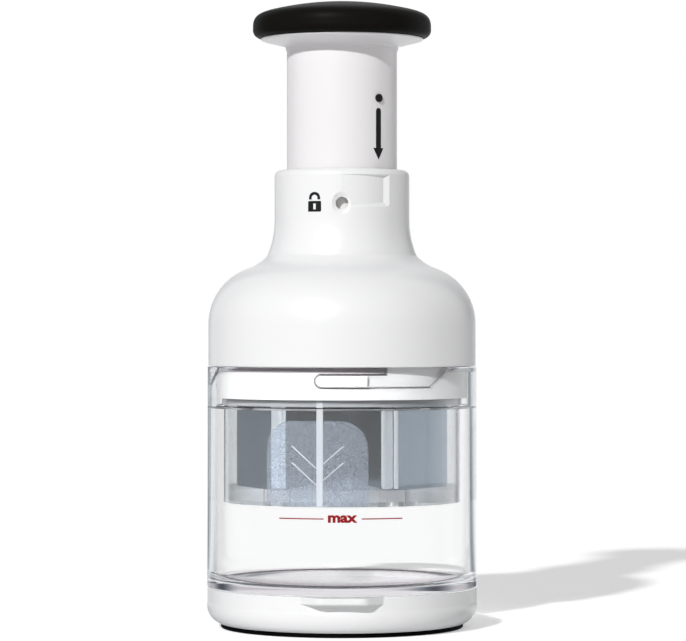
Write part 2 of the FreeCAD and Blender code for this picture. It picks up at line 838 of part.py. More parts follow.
def make_drive_nut():
    """Nut whose twisted slot turns the shaft, with saw teeth down into the gaps of the ratchet ring."""
    low = bridge_top + ratchet_thickness + tooth_height + seam
    top = bridge_top + ratchet_thickness + nut_length
    gap = math.degrees(seam / tooth_inner_radius)
    last = tooth_pitch_angle - gap
    body = ring(0, nut_radius, low, top)
    body = fused(body, saw_teeth(gap, last, last, low + running, low - tooth_height + seam))
    wider = 2 * nut_bore_gap
    return body.cut(
        twisted_bar(shaft_diameter + wider, shaft_flat_thickness + wider, bridge_top, hub_top))


def make_nut_spring():
    """Coned washer that presses the nut on to the ratchet ring."""
    low = bridge_top + ratchet_thickness + nut_length + seam
    high = hub_top - seam
    points = [
        (nut_spring_inner, high - nut_spring_sheet, 0), (nut_spring_outer, low, 0),
        (nut_spring_outer, low + nut_spring_sheet, 0), (nut_spring_inner, high, 0)]
    return lathe(points)


def make_nut_cap():
    """Cap on the hub over the nut and its spring, centred by a spigot."""
    bore = shaft_diameter / 2 + loose
    spigot_inner = nut_radius - cap_spigot_wall
    spigot_bottom = hub_top - cap_spigot_height
    points = [
        (bore, hub_top, 0), (spigot_inner, hub_top, 0), (spigot_inner, spigot_bottom, 0),
        (nut_radius, spigot_bottom, 0), (nut_radius, hub_top, 0), (hub_radius, hub_top, 0),
        (hub_radius, hub_top + cap_thickness, cap_edge), (bore, hub_top + cap_thickness, 0)]
    return lathe(points)


# Plunger


def make_plunger_tube():
    """White tube with the flare under the knob, the web for the screws and a groove at its foot."""
    cone_inner = flare_start + flare_fillet
    rim_low = cone_inner + flare_slope
    bend = flare_fillet + overlap
    edge = tube_edge / 2
    points = [
        (tube_inner, tube_bottom, tube_edge), (tube_radius, tube_bottom, tube_edge),
        (tube_radius, flare_start, 0), (collar_radius, flare_start, edge),
        (collar_radius, cone_inner, bend / 2), (flare_radius - flare_edge, rim_low, tube_edge),
        (flare_radius, rim_low + tube_edge, edge), (flare_radius, flare_top, edge),
        (tube_inner, flare_top, 0), (tube_inner, web_top, 0), (0, web_top, 0), (0, web_bottom, 0),
        (tube_inner, web_bottom, 0)]
    body = lathe(points)
    groove_low = tube_bottom + tube_toe
    groove_high = groove_low + stop_ring_height
    body = body.cut(ring(tube_radius - stop_groove_depth, tube_radius + margin, groove_low, groove_high))
    hole_radius = knob_screw_radius + loose
    hole = upright(hole_radius, web_bottom - margin, web_top + margin, knob_screw_distance)
    for tool in ring_of(hole, knob_screw_count):
        body = body.cut(tool)
    pin_hole = spoke(pin_diameter / 2, tube_inner - margin, tube_radius + margin, lock_angle, pin_level)
    return body.cut(pin_hole)


def make_stop_ring():
    """Split ring in the groove at the foot of the tube; it stops under the guide sleeve."""
    low = tube_bottom + tube_toe + running
    top = low + stop_ring_height - 2 * running
    body = ring(tube_radius - stop_groove_depth + running, stop_ring_outer, low, top)
    split = radial_bar(
        stop_ring_split, tube_inner, stop_ring_outer + margin, low - margin, top + margin, 180.0)
    return body.cut(split)


def make_lock_pin():
    """Dark pin through the tube wall; it runs in the sleeve's groove and shows in the hole."""
    radius = pin_diameter / 2 - running
    head_radius = radius + pin_head_side
    head_end = math.sqrt(tube_inner ** 2 - head_radius ** 2) - running
    tip = tube_radius + pin_reach
    shank = spoke(radius, head_end - pin_head_height / 2, tip, lock_angle, pin_level)
    head = spoke(head_radius, head_end - pin_head_height, head_end, lock_angle, pin_level)
    round_end = ring(0, tip, pin_level - pin_diameter, pin_level + pin_diameter)
    return fused(shank, [head]).common(round_end)


def knob_outline(skin):
    """Edges of the knob's outer face, from the lip round to the top, moved inwards by a skin."""
    low = flare_top + seam
    top = low + knob_height - skin
    side = knob_radius - skin
    lip = Vector(side - knob_lip_run, 0, low)
    lip_end = Vector(side, 0, low + knob_lip_rise)
    turn = math.sqrt(0.5)
    lip_middle = Vector(side - knob_lip_run * (1 - turn), 0, low + knob_lip_rise * (1 - turn))
    dome_radius = knob_dome_radius - skin
    dome_end_r = side - knob_shoulder_run
    dome_end = Vector(dome_end_r, 0, top - dome_radius + math.sqrt(dome_radius ** 2 - dome_end_r ** 2))
    shoulder_low = Vector(side, 0, top + skin - knob_shoulder_drop)
    shoulder = Part.BezierCurve()
    lift = knob_shoulder_pull
    rise = dome_end.z - shoulder_low.z
    slope = -dome_end_r / math.sqrt(dome_radius ** 2 - dome_end_r ** 2)
    shoulder.setPoles([
        shoulder_low, shoulder_low + Vector(0, 0, lift * rise),
        dome_end + Vector(1, 0, slope) * (lift * knob_shoulder_run), dome_end])
    apex = Vector(0, 0, top)
    half = dome_end_r / 2
    dome_middle = Vector(half, 0, top - dome_radius + math.sqrt(dome_radius ** 2 - half ** 2))
    return lip, [
        Part.Arc(lip, lip_middle, lip_end).toShape(), Part.makeLine(lip_end, shoulder_low),
        shoulder.toShape(), Part.Arc(dome_end, dome_middle, apex).toShape()], apex


def make_knob_grip():
    """Soft black cap over the knob's core."""
    lip, outer, apex = knob_outline(0.0)
    inner_lip, inner, inner_apex = knob_outline(knob_skin)
    edges = outer + [Part.makeLine(apex, inner_apex)] + inner + [Part.makeLine(inner_lip, lip)]
    wire = Part.Wire(Part.sortEdges(edges)[0])
    return Part.Face(wire).revolve(Vector(0, 0, 0), UP, 360)


def make_knob_core():
    """Rigid core of the knob, with a spigot down into the tube and pilot holes for the screws."""
    lip, edges, apex = knob_outline(knob_skin + running)
    spigot = tube_inner - sliding
    foot = web_top + running
    edges = edges + polyline([apex, (0, foot), (spigot, foot), (spigot, lip.z), lip])
    wire = Part.Wire(Part.sortEdges(edges)[0])
    body = Part.Face(wire).revolve(Vector(0, 0, 0), UP, 360)
    pilot_top = web_top + knob_screw_grip + pilot_reserve
    pilot = upright(knob_screw_radius + running, web_top - margin, pilot_top, knob_screw_distance)
    for hole in ring_of(pilot, knob_screw_count):
        body = body.cut(hole)
    return body


def make_knob_screws():
    """Three screws up through the tube's web into the knob's core."""
    length = tube_web + knob_screw_grip
    one = screw(knob_screw_head_radius, knob_screw_head_height, knob_screw_radius, length, web_bottom)
    one.translate(polar(knob_screw_distance, 0, 0))
    return Part.makeCompound(ring_of(one, knob_screw_count))


def make_thrust_washer():
    """Washer between the buffer spring and the tube, on which the knob turns."""
    return ring(washer_inner, tube_inner - sliding, washer_bottom, washer_bottom + washer_thickness)


# Blade drive


def make_shaft_carrier():
    """Flanged bush that carries the top of the shaft between the two springs."""
    hub_top_z = shaft_shoulder + carrier_hub_length
    flange = ring(0, tube_inner - loose, carrier_bottom, carrier_top)
    hub = ring(0, carrier_hub_radius, shaft_shoulder, hub_top_z)
    guide_radius = return_radius - return_wire
    spring_guide = ring(0, guide_radius, carrier_bottom - carrier_guide_height, carrier_bottom)
    body = fused(flange, [hub, spring_guide])
    return body.cut(upright(journal_radius + running, shaft_shoulder - margin, hub_top_z + margin))


def make_drive_shaft():
    """Steel shaft: twisted flat bar, a round journal at the top and a flatted end at the foot."""
    twist_bottom = plate_hub_top + seat_gap
    twist_top = shaft_shoulder - shaft_collar_length
    groove_low = shaft_shoulder + carrier_hub_length + running
    groove_high = groove_low + clip_thickness + running
    journal_top = groove_high + shaft_end_length
    bar = twisted_bar(shaft_diameter, shaft_flat_thickness, twist_bottom, twist_top)
    foot = upright(shaft_diameter / 2, socket_bottom, twist_bottom)
    collar = upright(shaft_diameter / 2, twist_top, shaft_shoulder)
    journal = upright(journal_radius, shaft_shoulder, journal_top)
    body = fused(foot.cut(foot_flat(plate_hub_top, 0.0)), [bar, collar, journal])
    groove = ring(journal_radius - clip_groove_depth, journal_radius + margin, groove_low, groove_high)
    tapped_top = socket_bottom + blade_screw_length
    tapped = upright(blade_screw_radius + running, socket_bottom - margin, tapped_top)
    return body.cut(groove).cut(tapped)


def foot_flat(top, play):
    """Block behind the flat at the foot of the shaft, up to a level, with some play."""
    corner = Vector(-shaft_diameter, shaft_diameter * flat_share + play, socket_bottom)
    return Part.makeBox(2 * shaft_diameter, shaft_diameter, top - socket_bottom, corner)


def make_shaft_clip():
    """Clip in the shaft's groove above the carrier."""
    low = shaft_shoulder + carrier_hub_length + 1.5 * running
    top = low + clip_thickness - running
    body = ring(journal_radius - clip_groove_depth + running, clip_radius, low, top)
    return body.cut(radial_bar(clip_split, 0, clip_radius + margin, low - margin, top + margin, 90.0))


def blade_path():
    """Corners of the folded blade in plan: two folds at the front, one at the back, two ends."""
    corner_radius = guard_radius - blade_corner_gap
    end_radius = guard_radius - blade_end_gap
    places = [
        (end_radius, -blade_end_angle), (corner_radius, -blade_fold_angle), (corner_radius, 180.0),
        (corner_radius, blade_fold_angle), (end_radius, blade_end_angle)]
    return [polar(radius, angle + blade_turn, 0) for radius, angle in places]


def strip_outline(half, extra):
    """Closed outline of a strip along the blade's path, half as wide as given, longer at its ends."""
    path = blade_path()
    count = len(path)
    sides = {1: [], -1: []}
    for i, point in enumerate(path):
        into = (point - path[i - 1]).normalize() if i > 0 else None
        out = (path[i + 1] - point).normalize() if i < count - 1 else None
        if into is None or out is None:
            along = out or into
            normal = Vector(-along.y, along.x, 0)
            shift = along * (-extra if into is None else extra)
            for side in sides:
                place = point + shift + normal * (half * side)
                sides[side].append((place.x, place.y, 0))
            continue
        bisector = (out - into).normalize()
        sine = math.sin((math.pi - into.getAngle(out)) / 2)
        for side in sides:
            normal = Vector(-into.y, into.x, 0)
            inner = normal.dot(bisector) * side > 0
            place = point + bisector * (half / sine if inner else -half / sine)
            sides[side].append((place.x, place.y, blade_bend_radius + (-half if inner else half)))
    return sides[1] + sides[-1][::-1]


def strip(half, extra, bottom, top):
    """A solid strip along the blade's path."""
    return extruded(strip_outline(half, extra), bottom, top)


def make_blade():
    """Folded steel strip ground to an edge at the bottom."""
    half = blade_thickness / 2
    bevel_top = blade_edge + blade_bevel
    body = strip(half, 0, bevel_top, plate_bottom + blade_inset - seam)
    edge_half = blade_edge_thickness / 2
    wires = [
        rounded(strip_outline(edge_half, 0), lambda x, y: Vector(x, y, blade_edge)),
        rounded(strip_outline(half, 0), lambda x, y: Vector(x, y, bevel_top))]
    return fused(body, [Part.makeLoft(wires, True, True)])


def make_blade_carrier():
    """Disc that holds the blade's top edge, with notches for the guard's ribs and a hub."""
    low = plate_bottom
    below = low - margin
    above = plate_top + margin
    body = fused(ring(0, plate_radius, low, plate_top), [ring(0, plate_hub_radius, low, plate_hub_top)])
    body = body.cut(strip(blade_thickness / 2 + running, seam, below, low + blade_inset))
    notch_inner = guard_inner - guard_rib_depth - loose
    slot_width = guard_rib_width + 2 * loose
    for angle in rib_angles():
        body = body.cut(radial_bar(slot_width, notch_inner, plate_radius + margin, below, above, angle))
    socket = upright(shaft_diameter / 2 + running, socket_bottom, plate_hub_top + margin)
    body = body.cut(socket.cut(foot_flat(plate_hub_top - running, running)))
    half = window_half_angle
    window = sector(window_inner_radius, window_outer_radius, below, above, -half, half)
    ledge = strip(window_margin, window_margin, below - margin, above + margin)
    for opening in ring_of(window, window_count, 180.0 / window_count):
        body = body.cut(opening.cut(ledge))
    body = body.cut(upright(blade_screw_head_radius + sliding, below, low + plate_counterbore))
    return body.cut(upright(blade_screw_radius + sliding, below, socket_bottom + margin))


def make_blade_screw():
    """Screw from below that holds the blade's disc on the shaft."""
    seat = plate_bottom + plate_counterbore
    return screw(
        blade_screw_head_radius, blade_screw_head_height, blade_screw_radius, blade_screw_length, seat)


# Guard


def rib_angles():
    """Angles of the guard's three guide ribs, one at each fold of the blade."""
    return [blade_turn - blade_fold_angle, blade_turn + blade_fold_angle, blade_turn + 180.0]


def arch(centre_angle):
    """Block that cuts a round-topped pad out of a shell, seen along its own radius."""
    half = guard_radius * math.sin(math.radians(pad_half_angle))
    top = guard_bottom + pad_height
    outline = [
        (-half, guard_bottom, 0), (half, guard_bottom, 0), (half, top, pad_corner), (-half, top, pad_corner)]
    wire = rounded(outline, lambda x, z: Vector(x, 0, z))
    block = Part.Face(wire).extrude(Vector(0, -2 * guard_radius, 0))
    return turned(block, centre_angle)


def chevron(tip_z):
    """Block in the shape of a V that points down, in front of the axis."""
    span = chevron_half_span
    arm_z = tip_z + chevron_drop
    points = [
        Vector(0, 0, tip_z), Vector(span, 0, arm_z), Vector(span, 0, arm_z + chevron_bar),
        Vector(0, 0, tip_z + chevron_bar), Vector(-span, 0, arm_z + chevron_bar), Vector(-span, 0, arm_z)]
    return Part.Face(Part.makePolygon(points + points[:1])).extrude(Vector(0, -2 * guard_radius, 0))


def make_guard_shell():
    """Frosted cylinder round the blade: hooked top flange, guide ribs, two pads with chevrons."""
    hook = track_outer + sliding
    flange_low = guard_top - guard_flange
    points = [
        (guard_inner, guard_bottom, 0), (guard_radius, guard_bottom, guard_edge),
        (guard_radius, guard_top, guard_edge), (hook, guard_top, 0), (hook, flange_low, 0),
        (guard_inner, flange_low, 0)]
    body = lathe(points)
    root = guard_inner + overlap
    block_top = guard_bottom + wiper_band
    ribs = [
        radial_bar(
            guard_rib_width, guard_inner - guard_rib_depth, root, block_top + seat_gap,
            track_bottom - overlap, angle)
        for angle in rib_angles()]
    pad_skin = ring(root, guard_radius + pad_reach, guard_bottom, guard_top)
    mark_skin = ring(root, guard_radius + pad_reach + chevron_reach, guard_bottom, guard_top)
    seam_skin = ring(root, guard_radius + seam_rib_reach, guard_bottom, track_bottom)
    outside = guard_radius + margin
    post = radial_bar(seam_rib_width, guard_inner, outside, guard_bottom, guard_top, 0)
    extras = []
    for angle in (pad_angle, pad_angle + 180.0):
        extras.append(pad_skin.common(arch(angle)))
        for level in (chevron_rise, chevron_rise - chevron_pitch):
            extras.append(mark_skin.common(turned(chevron(guard_bottom + level), angle)))
        extras.append(seam_skin.common(turned(post, angle)))
    body = fused(body, ribs + extras)
    window = radial_bar(
        foot_block_width + 2 * seam, guard_inner - margin, outside, guard_bottom - margin,
        block_top + seam, 0)
    for angle in rib_angles():
        body = body.cut(turned(window, angle))
    return body


def make_wiper_plate():
    """Slotted floor that the blade passes through, with a band and blocks that snap into the guard."""
    rim = guard_inner - seam / 2
    band_inner = rim - wiper_band_wall
    band_top = guard_bottom + wiper_band
    points = [
        (0, guard_bottom, 0), (rim, guard_bottom, 0), (rim, band_top, 0), (band_inner, band_top, 0),
        (band_inner, wiper_top, 0), (0, wiper_top, 0)]
    outside = ring(band_inner, guard_radius, guard_bottom, band_top)
    block = radial_bar(
        foot_block_width, band_inner - margin, guard_radius + margin, guard_bottom, band_top, 0)
    body = fused(lathe(points), [outside.common(turned(block, angle)) for angle in rib_angles()])
    half = blade_thickness / 2 + wiper_slot_gap
    return body.cut(strip(half, 1.5 * wiper_slot_gap, guard_bottom - margin, wiper_top + margin))


# Springs


def make_return_spring():
    """Long spring from the bridge up to the shaft's carrier."""
    low = bridge_top + seat_gap
    return coil(return_wire, return_radius, low, carrier_bottom - seat_gap, return_turns)


def make_buffer_spring():
    """Stiff spring between the shaft's carrier and the thrust washer."""
    low = carrier_top + seat_gap
    return coil(buffer_wire, buffer_radius, low, low + buffer_length, buffer_turns)


makers = {
    "base_boot": make_base_boot,
    "foot_ring": make_foot_ring,
    "cup": make_cup,
    "housing": make_housing,
    "inner_bridge": make_inner_bridge,
    "bridge_screws": make_bridge_screws,
    "guide_sleeve": make_guide_sleeve,
    "ratchet_ring": make_ratchet_ring,
    "drive_nut": make_drive_nut,
    "nut_spring": make_nut_spring,
    "nut_cap": make_nut_cap,
    "return_spring": make_return_spring,
    "thrust_washer": make_thrust_washer,
    "buffer_spring": make_buffer_spring,
    "plunger_tube": make_plunger_tube,
    "stop_ring": make_stop_ring,
    "lock_pin": make_lock_pin,
    "knob_core": make_knob_core,
    "knob_grip": make_knob_grip,
    "knob_screws": make_knob_screws,
    "shaft_carrier": make_shaft_carrier,
    "drive_shaft": make_drive_shaft,
    "shaft_clip": make_shaft_clip,
    "blade_carrier": make_blade_carrier,
    "blade_screw": make_blade_screw,
    "blade": make_blade,
    "guard_shell": make_guard_shell,
    "wiper_plate": make_wiper_plate,
}

os.makedirs("parts", exist_ok=True)
for node, make in makers.items():
    shape = make()
    shape.exportStep(os.path.join("parts", node + ".step"))
    print(node, len(shape.Solids), shape.isValid(), round(shape.Volume, 1))
print("blade travel", round(blade_travel, 3), "plunger travel", round(plunger_travel, 3))
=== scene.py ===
"""Push-down food chopper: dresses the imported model, adds its modelled pieces, light and camera."""

import logging
import math
from collections.abc import Callable, Iterable
from dataclasses import dataclass
from enum import Enum

import bmesh
import bpy
from mathutils import Matrix, Vector


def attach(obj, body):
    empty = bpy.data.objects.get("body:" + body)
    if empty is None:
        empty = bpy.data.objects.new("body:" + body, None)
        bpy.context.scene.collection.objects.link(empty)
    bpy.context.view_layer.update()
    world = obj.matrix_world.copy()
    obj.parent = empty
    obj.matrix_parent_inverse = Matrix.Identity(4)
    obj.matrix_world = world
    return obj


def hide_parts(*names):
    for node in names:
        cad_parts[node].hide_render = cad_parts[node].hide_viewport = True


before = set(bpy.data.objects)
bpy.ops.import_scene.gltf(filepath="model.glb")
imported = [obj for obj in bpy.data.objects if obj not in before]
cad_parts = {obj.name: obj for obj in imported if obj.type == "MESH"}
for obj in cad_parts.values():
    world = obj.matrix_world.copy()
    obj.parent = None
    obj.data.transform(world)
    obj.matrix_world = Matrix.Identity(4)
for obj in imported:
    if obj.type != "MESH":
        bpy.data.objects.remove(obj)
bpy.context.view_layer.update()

MM = 0.001
PIXELS_ACROSS = 686
# Name of the mesh layer that says where the clear cup gets painted shade.
SHADE_LAYER = "painted_shade"

log = logging.getLogger("chopper")


class Body(Enum):
    """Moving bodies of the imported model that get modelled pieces."""

    CUP = "cup"
    HEAD = "head"
    KNOB = "knob"
    GUARD = "guard"


class Slot(Enum):
    """Material slots of the record that modelled pieces stand in; this script gives no piece its slot."""

    CLEAR_CUP = "clear_cup"
    FROSTED_GUARD = "frosted_guard"
    DARK_PLASTIC = "dark_plastic"


# Materials


class Graph:
    """A node tree that is filled with nodes."""

    def __init__(self, tree: bpy.types.NodeTree) -> None:
        """Start with an empty tree.

        Args:
            tree: The node tree of a material, world or group.
        """
        self.tree = tree
        tree.nodes.clear()

    def add(self, kind: str, sockets: dict | None = None, **settings: object) -> bpy.types.Node:
        """Add a node.

        Args:
            kind: The node's type after the words ShaderNode.
            sockets: Values or linked outputs by the input's name or number.
            **settings: The node's own properties.

        Returns:
            The new node.
        """
        node = self.tree.nodes.new("ShaderNode" + kind)
        for name, value in settings.items():
            setattr(node, name, value)
        for name, value in (sockets or {}).items():
            if isinstance(value, bpy.types.NodeSocket):
                self.tree.links.new(value, node.inputs[name])
            else:
                node.inputs[name].default_value = value
        return node

    def math(self, operation: str, *values: object) -> bpy.types.NodeSocket:
        """Add a Math node and return its output."""
        node = self.add("Math", dict(enumerate(values)), operation=operation)
        return node.outputs[0]

    def spread(self, mask: bpy.types.NodeSocket, low: float, high: float) -> bpy.types.NodeSocket:
        """Spread a mask from 0 to 1 over a range of values and return the output."""
        node = self.add("MapRange", {"Value": mask, "To Min": low, "To Max": high})
        return node.outputs["Result"]

    def tinted(self, mask: bpy.types.NodeSocket, dark: tuple, light: tuple) -> bpy.types.NodeSocket:
        """Mix two colours by a mask and return the output."""
        node = self.add("Mix", {"Factor": mask, "A": (*dark, 1), "B": (*light, 1)}, data_type="RGBA")
        return node.outputs["Result"]


def fresh_material(name: str) -> tuple[bpy.types.Material, Graph]:
    """Make a material and the graph of its emptied node tree."""
    material = bpy.data.materials.new(name)
    material.use_nodes = True
    return material, Graph(material.node_tree)


@dataclass(frozen=True)
class SharedEffect:
    """A surface effect kept as a node group that several materials place."""

    name: str
    inputs: tuple[str, ...]
    outputs: tuple[str, ...]

    def group(self, fill: Callable[[Graph, bpy.types.Node, bpy.types.Node], None]) -> bpy.types.NodeTree:
        """Find the group, or make it.

        Args:
            fill: Fills the new group, given its graph, its input node and its output node.

        Returns:
            The node group.
        """
        known = bpy.data.node_groups.get(self.name)
        if known:
            return known
        tree = bpy.data.node_groups.new(self.name, "ShaderNodeTree")
        for name in self.inputs:
            tree.interface.new_socket(name, in_out="INPUT", socket_type="NodeSocketFloat")
        for name in self.outputs:
            tree.interface.new_socket(name, in_out="OUTPUT", socket_type="NodeSocketFloat")
        graph = Graph(tree)
        source = tree.nodes.new("NodeGroupInput")
        target = tree.nodes.new("NodeGroupOutput")
        fill(graph, source, target)
        return tree


MOULDED = SharedEffect("moulded_skin", ("Scale", "Cloudiness"), ("Height", "Tone"))
BRUSHED = SharedEffect("rolled_lines", ("Fineness", "Stretch"), ("Height", "Streak"))
STIPPLED = SharedEffect("spark_stipple", ("Scale",), ("Height", "Sparkle"))


def fill_moulded(graph: Graph, source: bpy.types.Node, target: bpy.types.Node) -> None:
    """Fine skin of a moulding and slow clouds in its tone."""
    place = graph.add("TexCoord").outputs["Object"]
    skin = graph.add("TexNoise", {"Vector": place, "Scale": source.outputs["Scale"], "Detail": 3.0})
    cloud = graph.add("TexNoise", {"Vector": place, "Scale": source.outputs["Cloudiness"], "Detail": 2.0})
    graph.tree.links.new(skin.outputs["Fac"], target.inputs["Height"])
    graph.tree.links.new(cloud.outputs["Fac"], target.inputs["Tone"])


def fill_brushed(graph: Graph, source: bpy.types.Node, target: bpy.types.Node) -> None:
    """Upright lines of rolled and ground sheet: fast across, slow along the height."""
    place = graph.add("TexCoord").outputs["Object"]
    fine = source.outputs["Fineness"]
    along = graph.math("DIVIDE", fine, source.outputs["Stretch"])
    scale = graph.add("CombineXYZ", {"X": fine, "Y": fine, "Z": along}).outputs["Vector"]
    squeezed = graph.add("VectorMath", {0: place, 1: scale}, operation="MULTIPLY").outputs["Vector"]
    lines = graph.add("TexNoise", {"Vector": squeezed, "Scale": 1.0, "Detail": 4.0, "Roughness": 0.65})
    slow = graph.add("VectorMath", {0: squeezed, "Scale": 0.12}, operation="SCALE").outputs["Vector"]
    bands = graph.add("TexNoise", {"Vector": slow, "Scale": 1.0, "Detail": 2.0})
    both = graph.math("ADD", graph.math("MULTIPLY", lines.outputs["Fac"], 0.5),
                      graph.math("MULTIPLY", bands.outputs["Fac"], 0.5))
    graph.tree.links.new(lines.outputs["Fac"], target.inputs["Height"])
    graph.tree.links.new(both, target.inputs["Streak"])


def fill_stippled(graph: Graph, source: bpy.types.Node, target: bpy.types.Node) -> None:
    """Pits of a spark-eroded mould."""
    place = graph.add("TexCoord").outputs["Object"]
    pits = graph.add("TexVoronoi", {"Vector": place, "Scale": source.outputs["Scale"]}, feature="F1")
    fine = graph.add("TexNoise", {"Vector": place, "Scale": source.outputs["Scale"], "Detail": 4.0})
    height = graph.math("MULTIPLY", pits.outputs["Distance"], fine.outputs["Fac"])
    graph.tree.links.new(height, target.inputs["Height"])
    graph.tree.links.new(fine.outputs["Fac"], target.inputs["Sparkle"])


@dataclass(frozen=True)
class PlasticFinish:
    """Opaque moulded plastic."""

    name: str
    colour: tuple[float, float, float]
    roughness: float
    shade: float = 0.97
    scale: float = 900.0
    cloudiness: float = 25.0
    depth: float = 0.00001
    specular: float = 0.5

    def material(self) -> bpy.types.Material:
        """Build the material."""
        material, graph = fresh_material(self.name)
        values = {"Scale": self.scale, "Cloudiness": self.cloudiness}
        skin = graph.add("Group", values, node_tree=MOULDED.group(fill_moulded))
        dark = tuple(channel * self.shade for channel in self.colour)
        bump = graph.add("Bump", {"Height": skin.outputs["Height"], "Strength": 0.5, "Distance": self.depth})
        shader = graph.add("BsdfPrincipled", {
            "Base Color": graph.tinted(skin.outputs["Tone"], dark, self.colour),
            "Roughness": graph.spread(skin.outputs["Tone"], self.roughness * 0.9, self.roughness * 1.1),
            "Specular IOR Level": self.specular,
            "Normal": bump.outputs["Normal"]})
        graph.add("OutputMaterial", {"Surface": shader.outputs["BSDF"]})
        return material


@dataclass(frozen=True)
class RubberFinish:
    """Soft overmoulded rubber with a dull grain."""

    name: str
    colour: tuple[float, float, float]
    roughness: float
    shine: float = 1.25
    scale: float = 2600.0
    cloudiness: float = 60.0
    depth: float = 0.00004
    specular: float = 0.5

    def material(self) -> bpy.types.Material:
        """Build the material."""
        material, graph = fresh_material(self.name)
        values = {"Scale": self.scale, "Cloudiness": self.cloudiness}
        skin = graph.add("Group", values, node_tree=MOULDED.group(fill_moulded))
        light = tuple(channel * self.shine for channel in self.colour)
        bump = graph.add("Bump", {"Height": skin.outputs["Height"], "Strength": 0.6, "Distance": self.depth})
        shader = graph.add("BsdfPrincipled", {
            "Base Color": graph.tinted(skin.outputs["Tone"], self.colour, light),
            "Roughness": graph.spread(skin.outputs["Tone"], self.roughness * 0.92, self.roughness * 1.08),
            "Specular IOR Level": self.specular,
            "Normal": bump.outputs["Normal"]})
        graph.add("OutputMaterial", {"Surface": shader.outputs["BSDF"]})
        return material


@dataclass(frozen=True)
class SteelFinish:
    """Steel with rolled or ground lines along the height."""

    name: str
    dark: tuple[float, float, float]
    light: tuple[float, float, float]
    roughness: float
    fineness: float = 1500.0
    stretch: float = 60.0
    depth: float = 0.00002

    def material(self) -> bpy.types.Material:
        """Build the material."""
        material, graph = fresh_material(self.name)
        values = {"Fineness": self.fineness, "Stretch": self.stretch}
        lines = graph.add("Group", values, node_tree=BRUSHED.group(fill_brushed))
        bump = graph.add("Bump", {"Height": lines.outputs["Height"], "Strength": 0.4, "Distance": self.depth})
        shader = graph.add("BsdfPrincipled", {
            "Base Color": graph.tinted(lines.outputs["Streak"], self.dark, self.light),
            "Metallic": 1.0,
            "Roughness": graph.spread(lines.outputs["Streak"], self.roughness * 0.8, self.roughness * 1.2),
            "Normal": bump.outputs["Normal"]})
        graph.add("OutputMaterial", {"Surface": shader.outputs["BSDF"]})
        return material


@dataclass(frozen=True)
class ClearFinish:
    """See-through plastic, polished or milky. Seen along its wall it takes a painted grazing tint, and a mesh
    layer can paint shade lines into it.
    """

    name: str
    colour: tuple[float, float, float]
    grazing: tuple[float, float, float]
    grazing_start: float = 0.3
    grazing_end: float = 0.6
    # Colours of painted shade in the clear wall: a violet-grey half shade, then near-black shade lines.
    painted_half_shade: tuple[float, float, float] | None = None
    painted_shade: tuple[float, float, float] | None = None
    clearness: float = 1.0
    roughness: float = 0.0
    ior: float = 1.49
    stipple_scale: float = 0.0
    depth: float = 0.00002
    speckle: float = 0.0
    grain: tuple[float, float] = (0.38, 0.62)
    pipe_depth: float = 0.0

    def material(self) -> bpy.types.Material:
        """Build the material."""
        material, graph = fresh_material(self.name)
        # Grazing tint where the wall is seen at a slant: on the cup painted shade for the dark surroundings
        # it reflects and refracts, on the guard's wall partly its longer path and partly painted shade, on
        # the ribs a painted highlight.
        facing = graph.add("LayerWeight", {"Blend": 0.5}).outputs["Facing"]
        along = graph.add("MapRange", {
            "Value": facing, "From Min": self.grazing_start, "From Max": self.grazing_end},
            interpolation_type="SMOOTHSTEP")
        colour = graph.tinted(along.outputs["Result"], self.colour, self.grazing)
        # Painted shade from the mesh layer: up to half it mixes in the violet-grey painted half shade, above
        # half the near-black painted shade.
        if self.painted_shade:
            line = graph.add("Attribute", attribute_name=SHADE_LAYER, attribute_type="GEOMETRY").outputs["Fac"]
            for start, tint in zip((0.0, 0.5), (self.painted_half_shade, self.painted_shade)):
                share = graph.add("MapRange", {"Value": line, "From Min": start, "From Max": start + 0.5})
                mixed = graph.add("Mix", {"Factor": share.outputs["Result"], "A": colour, "B": (*tint, 1)},
                                  data_type="RGBA")
                colour = mixed.outputs["Result"]
        sockets = {
            "Base Color": colour,
            "Roughness": self.roughness,
            "IOR": self.ior,
            "Transmission Weight": self.clearness}
        if self.stipple_scale:
            pits = graph.add("Group", {"Scale": self.stipple_scale}, node_tree=STIPPLED.group(fill_stippled))
            bump = graph.add("Bump", {
                "Height": pits.outputs["Height"], "Strength": 0.5, "Distance": self.depth})
            sockets["Normal"] = bump.outputs["Normal"]
            low, high = self.roughness * 0.8, self.roughness * 1.2
            sockets["Roughness"] = graph.spread(pits.outputs["Sparkle"], low, high)
            if self.speckle:
                low, high = self.grain
                grain = graph.add("MapRange", {
                    "Value": pits.outputs["Sparkle"], "From Min": low, "From Max": high,
                    "To Min": 1 - self.speckle, "To Max": 1 + self.speckle}).outputs["Result"]
                tone = graph.add("VectorMath", {0: colour, "Scale": grain}, operation="SCALE")
                sockets["Base Color"] = tone.outputs["Vector"]
        surface = graph.add("BsdfPrincipled", sockets).outputs["BSDF"]
        if self.pipe_depth:
            # Light that is piped along a thick floor leaves it before it is lost inside.
            depth = graph.add("LightPath").outputs["Glossy Depth"]
            piped = graph.math("GREATER_THAN", depth, self.pipe_depth)
            out = graph.add("BsdfTransparent").outputs["BSDF"]
            surface = graph.add("MixShader", {0: piped, 1: surface, 2: out}).outputs["Shader"]
        graph.add("OutputMaterial", {"Surface": surface})
        return material


# Mesh tools


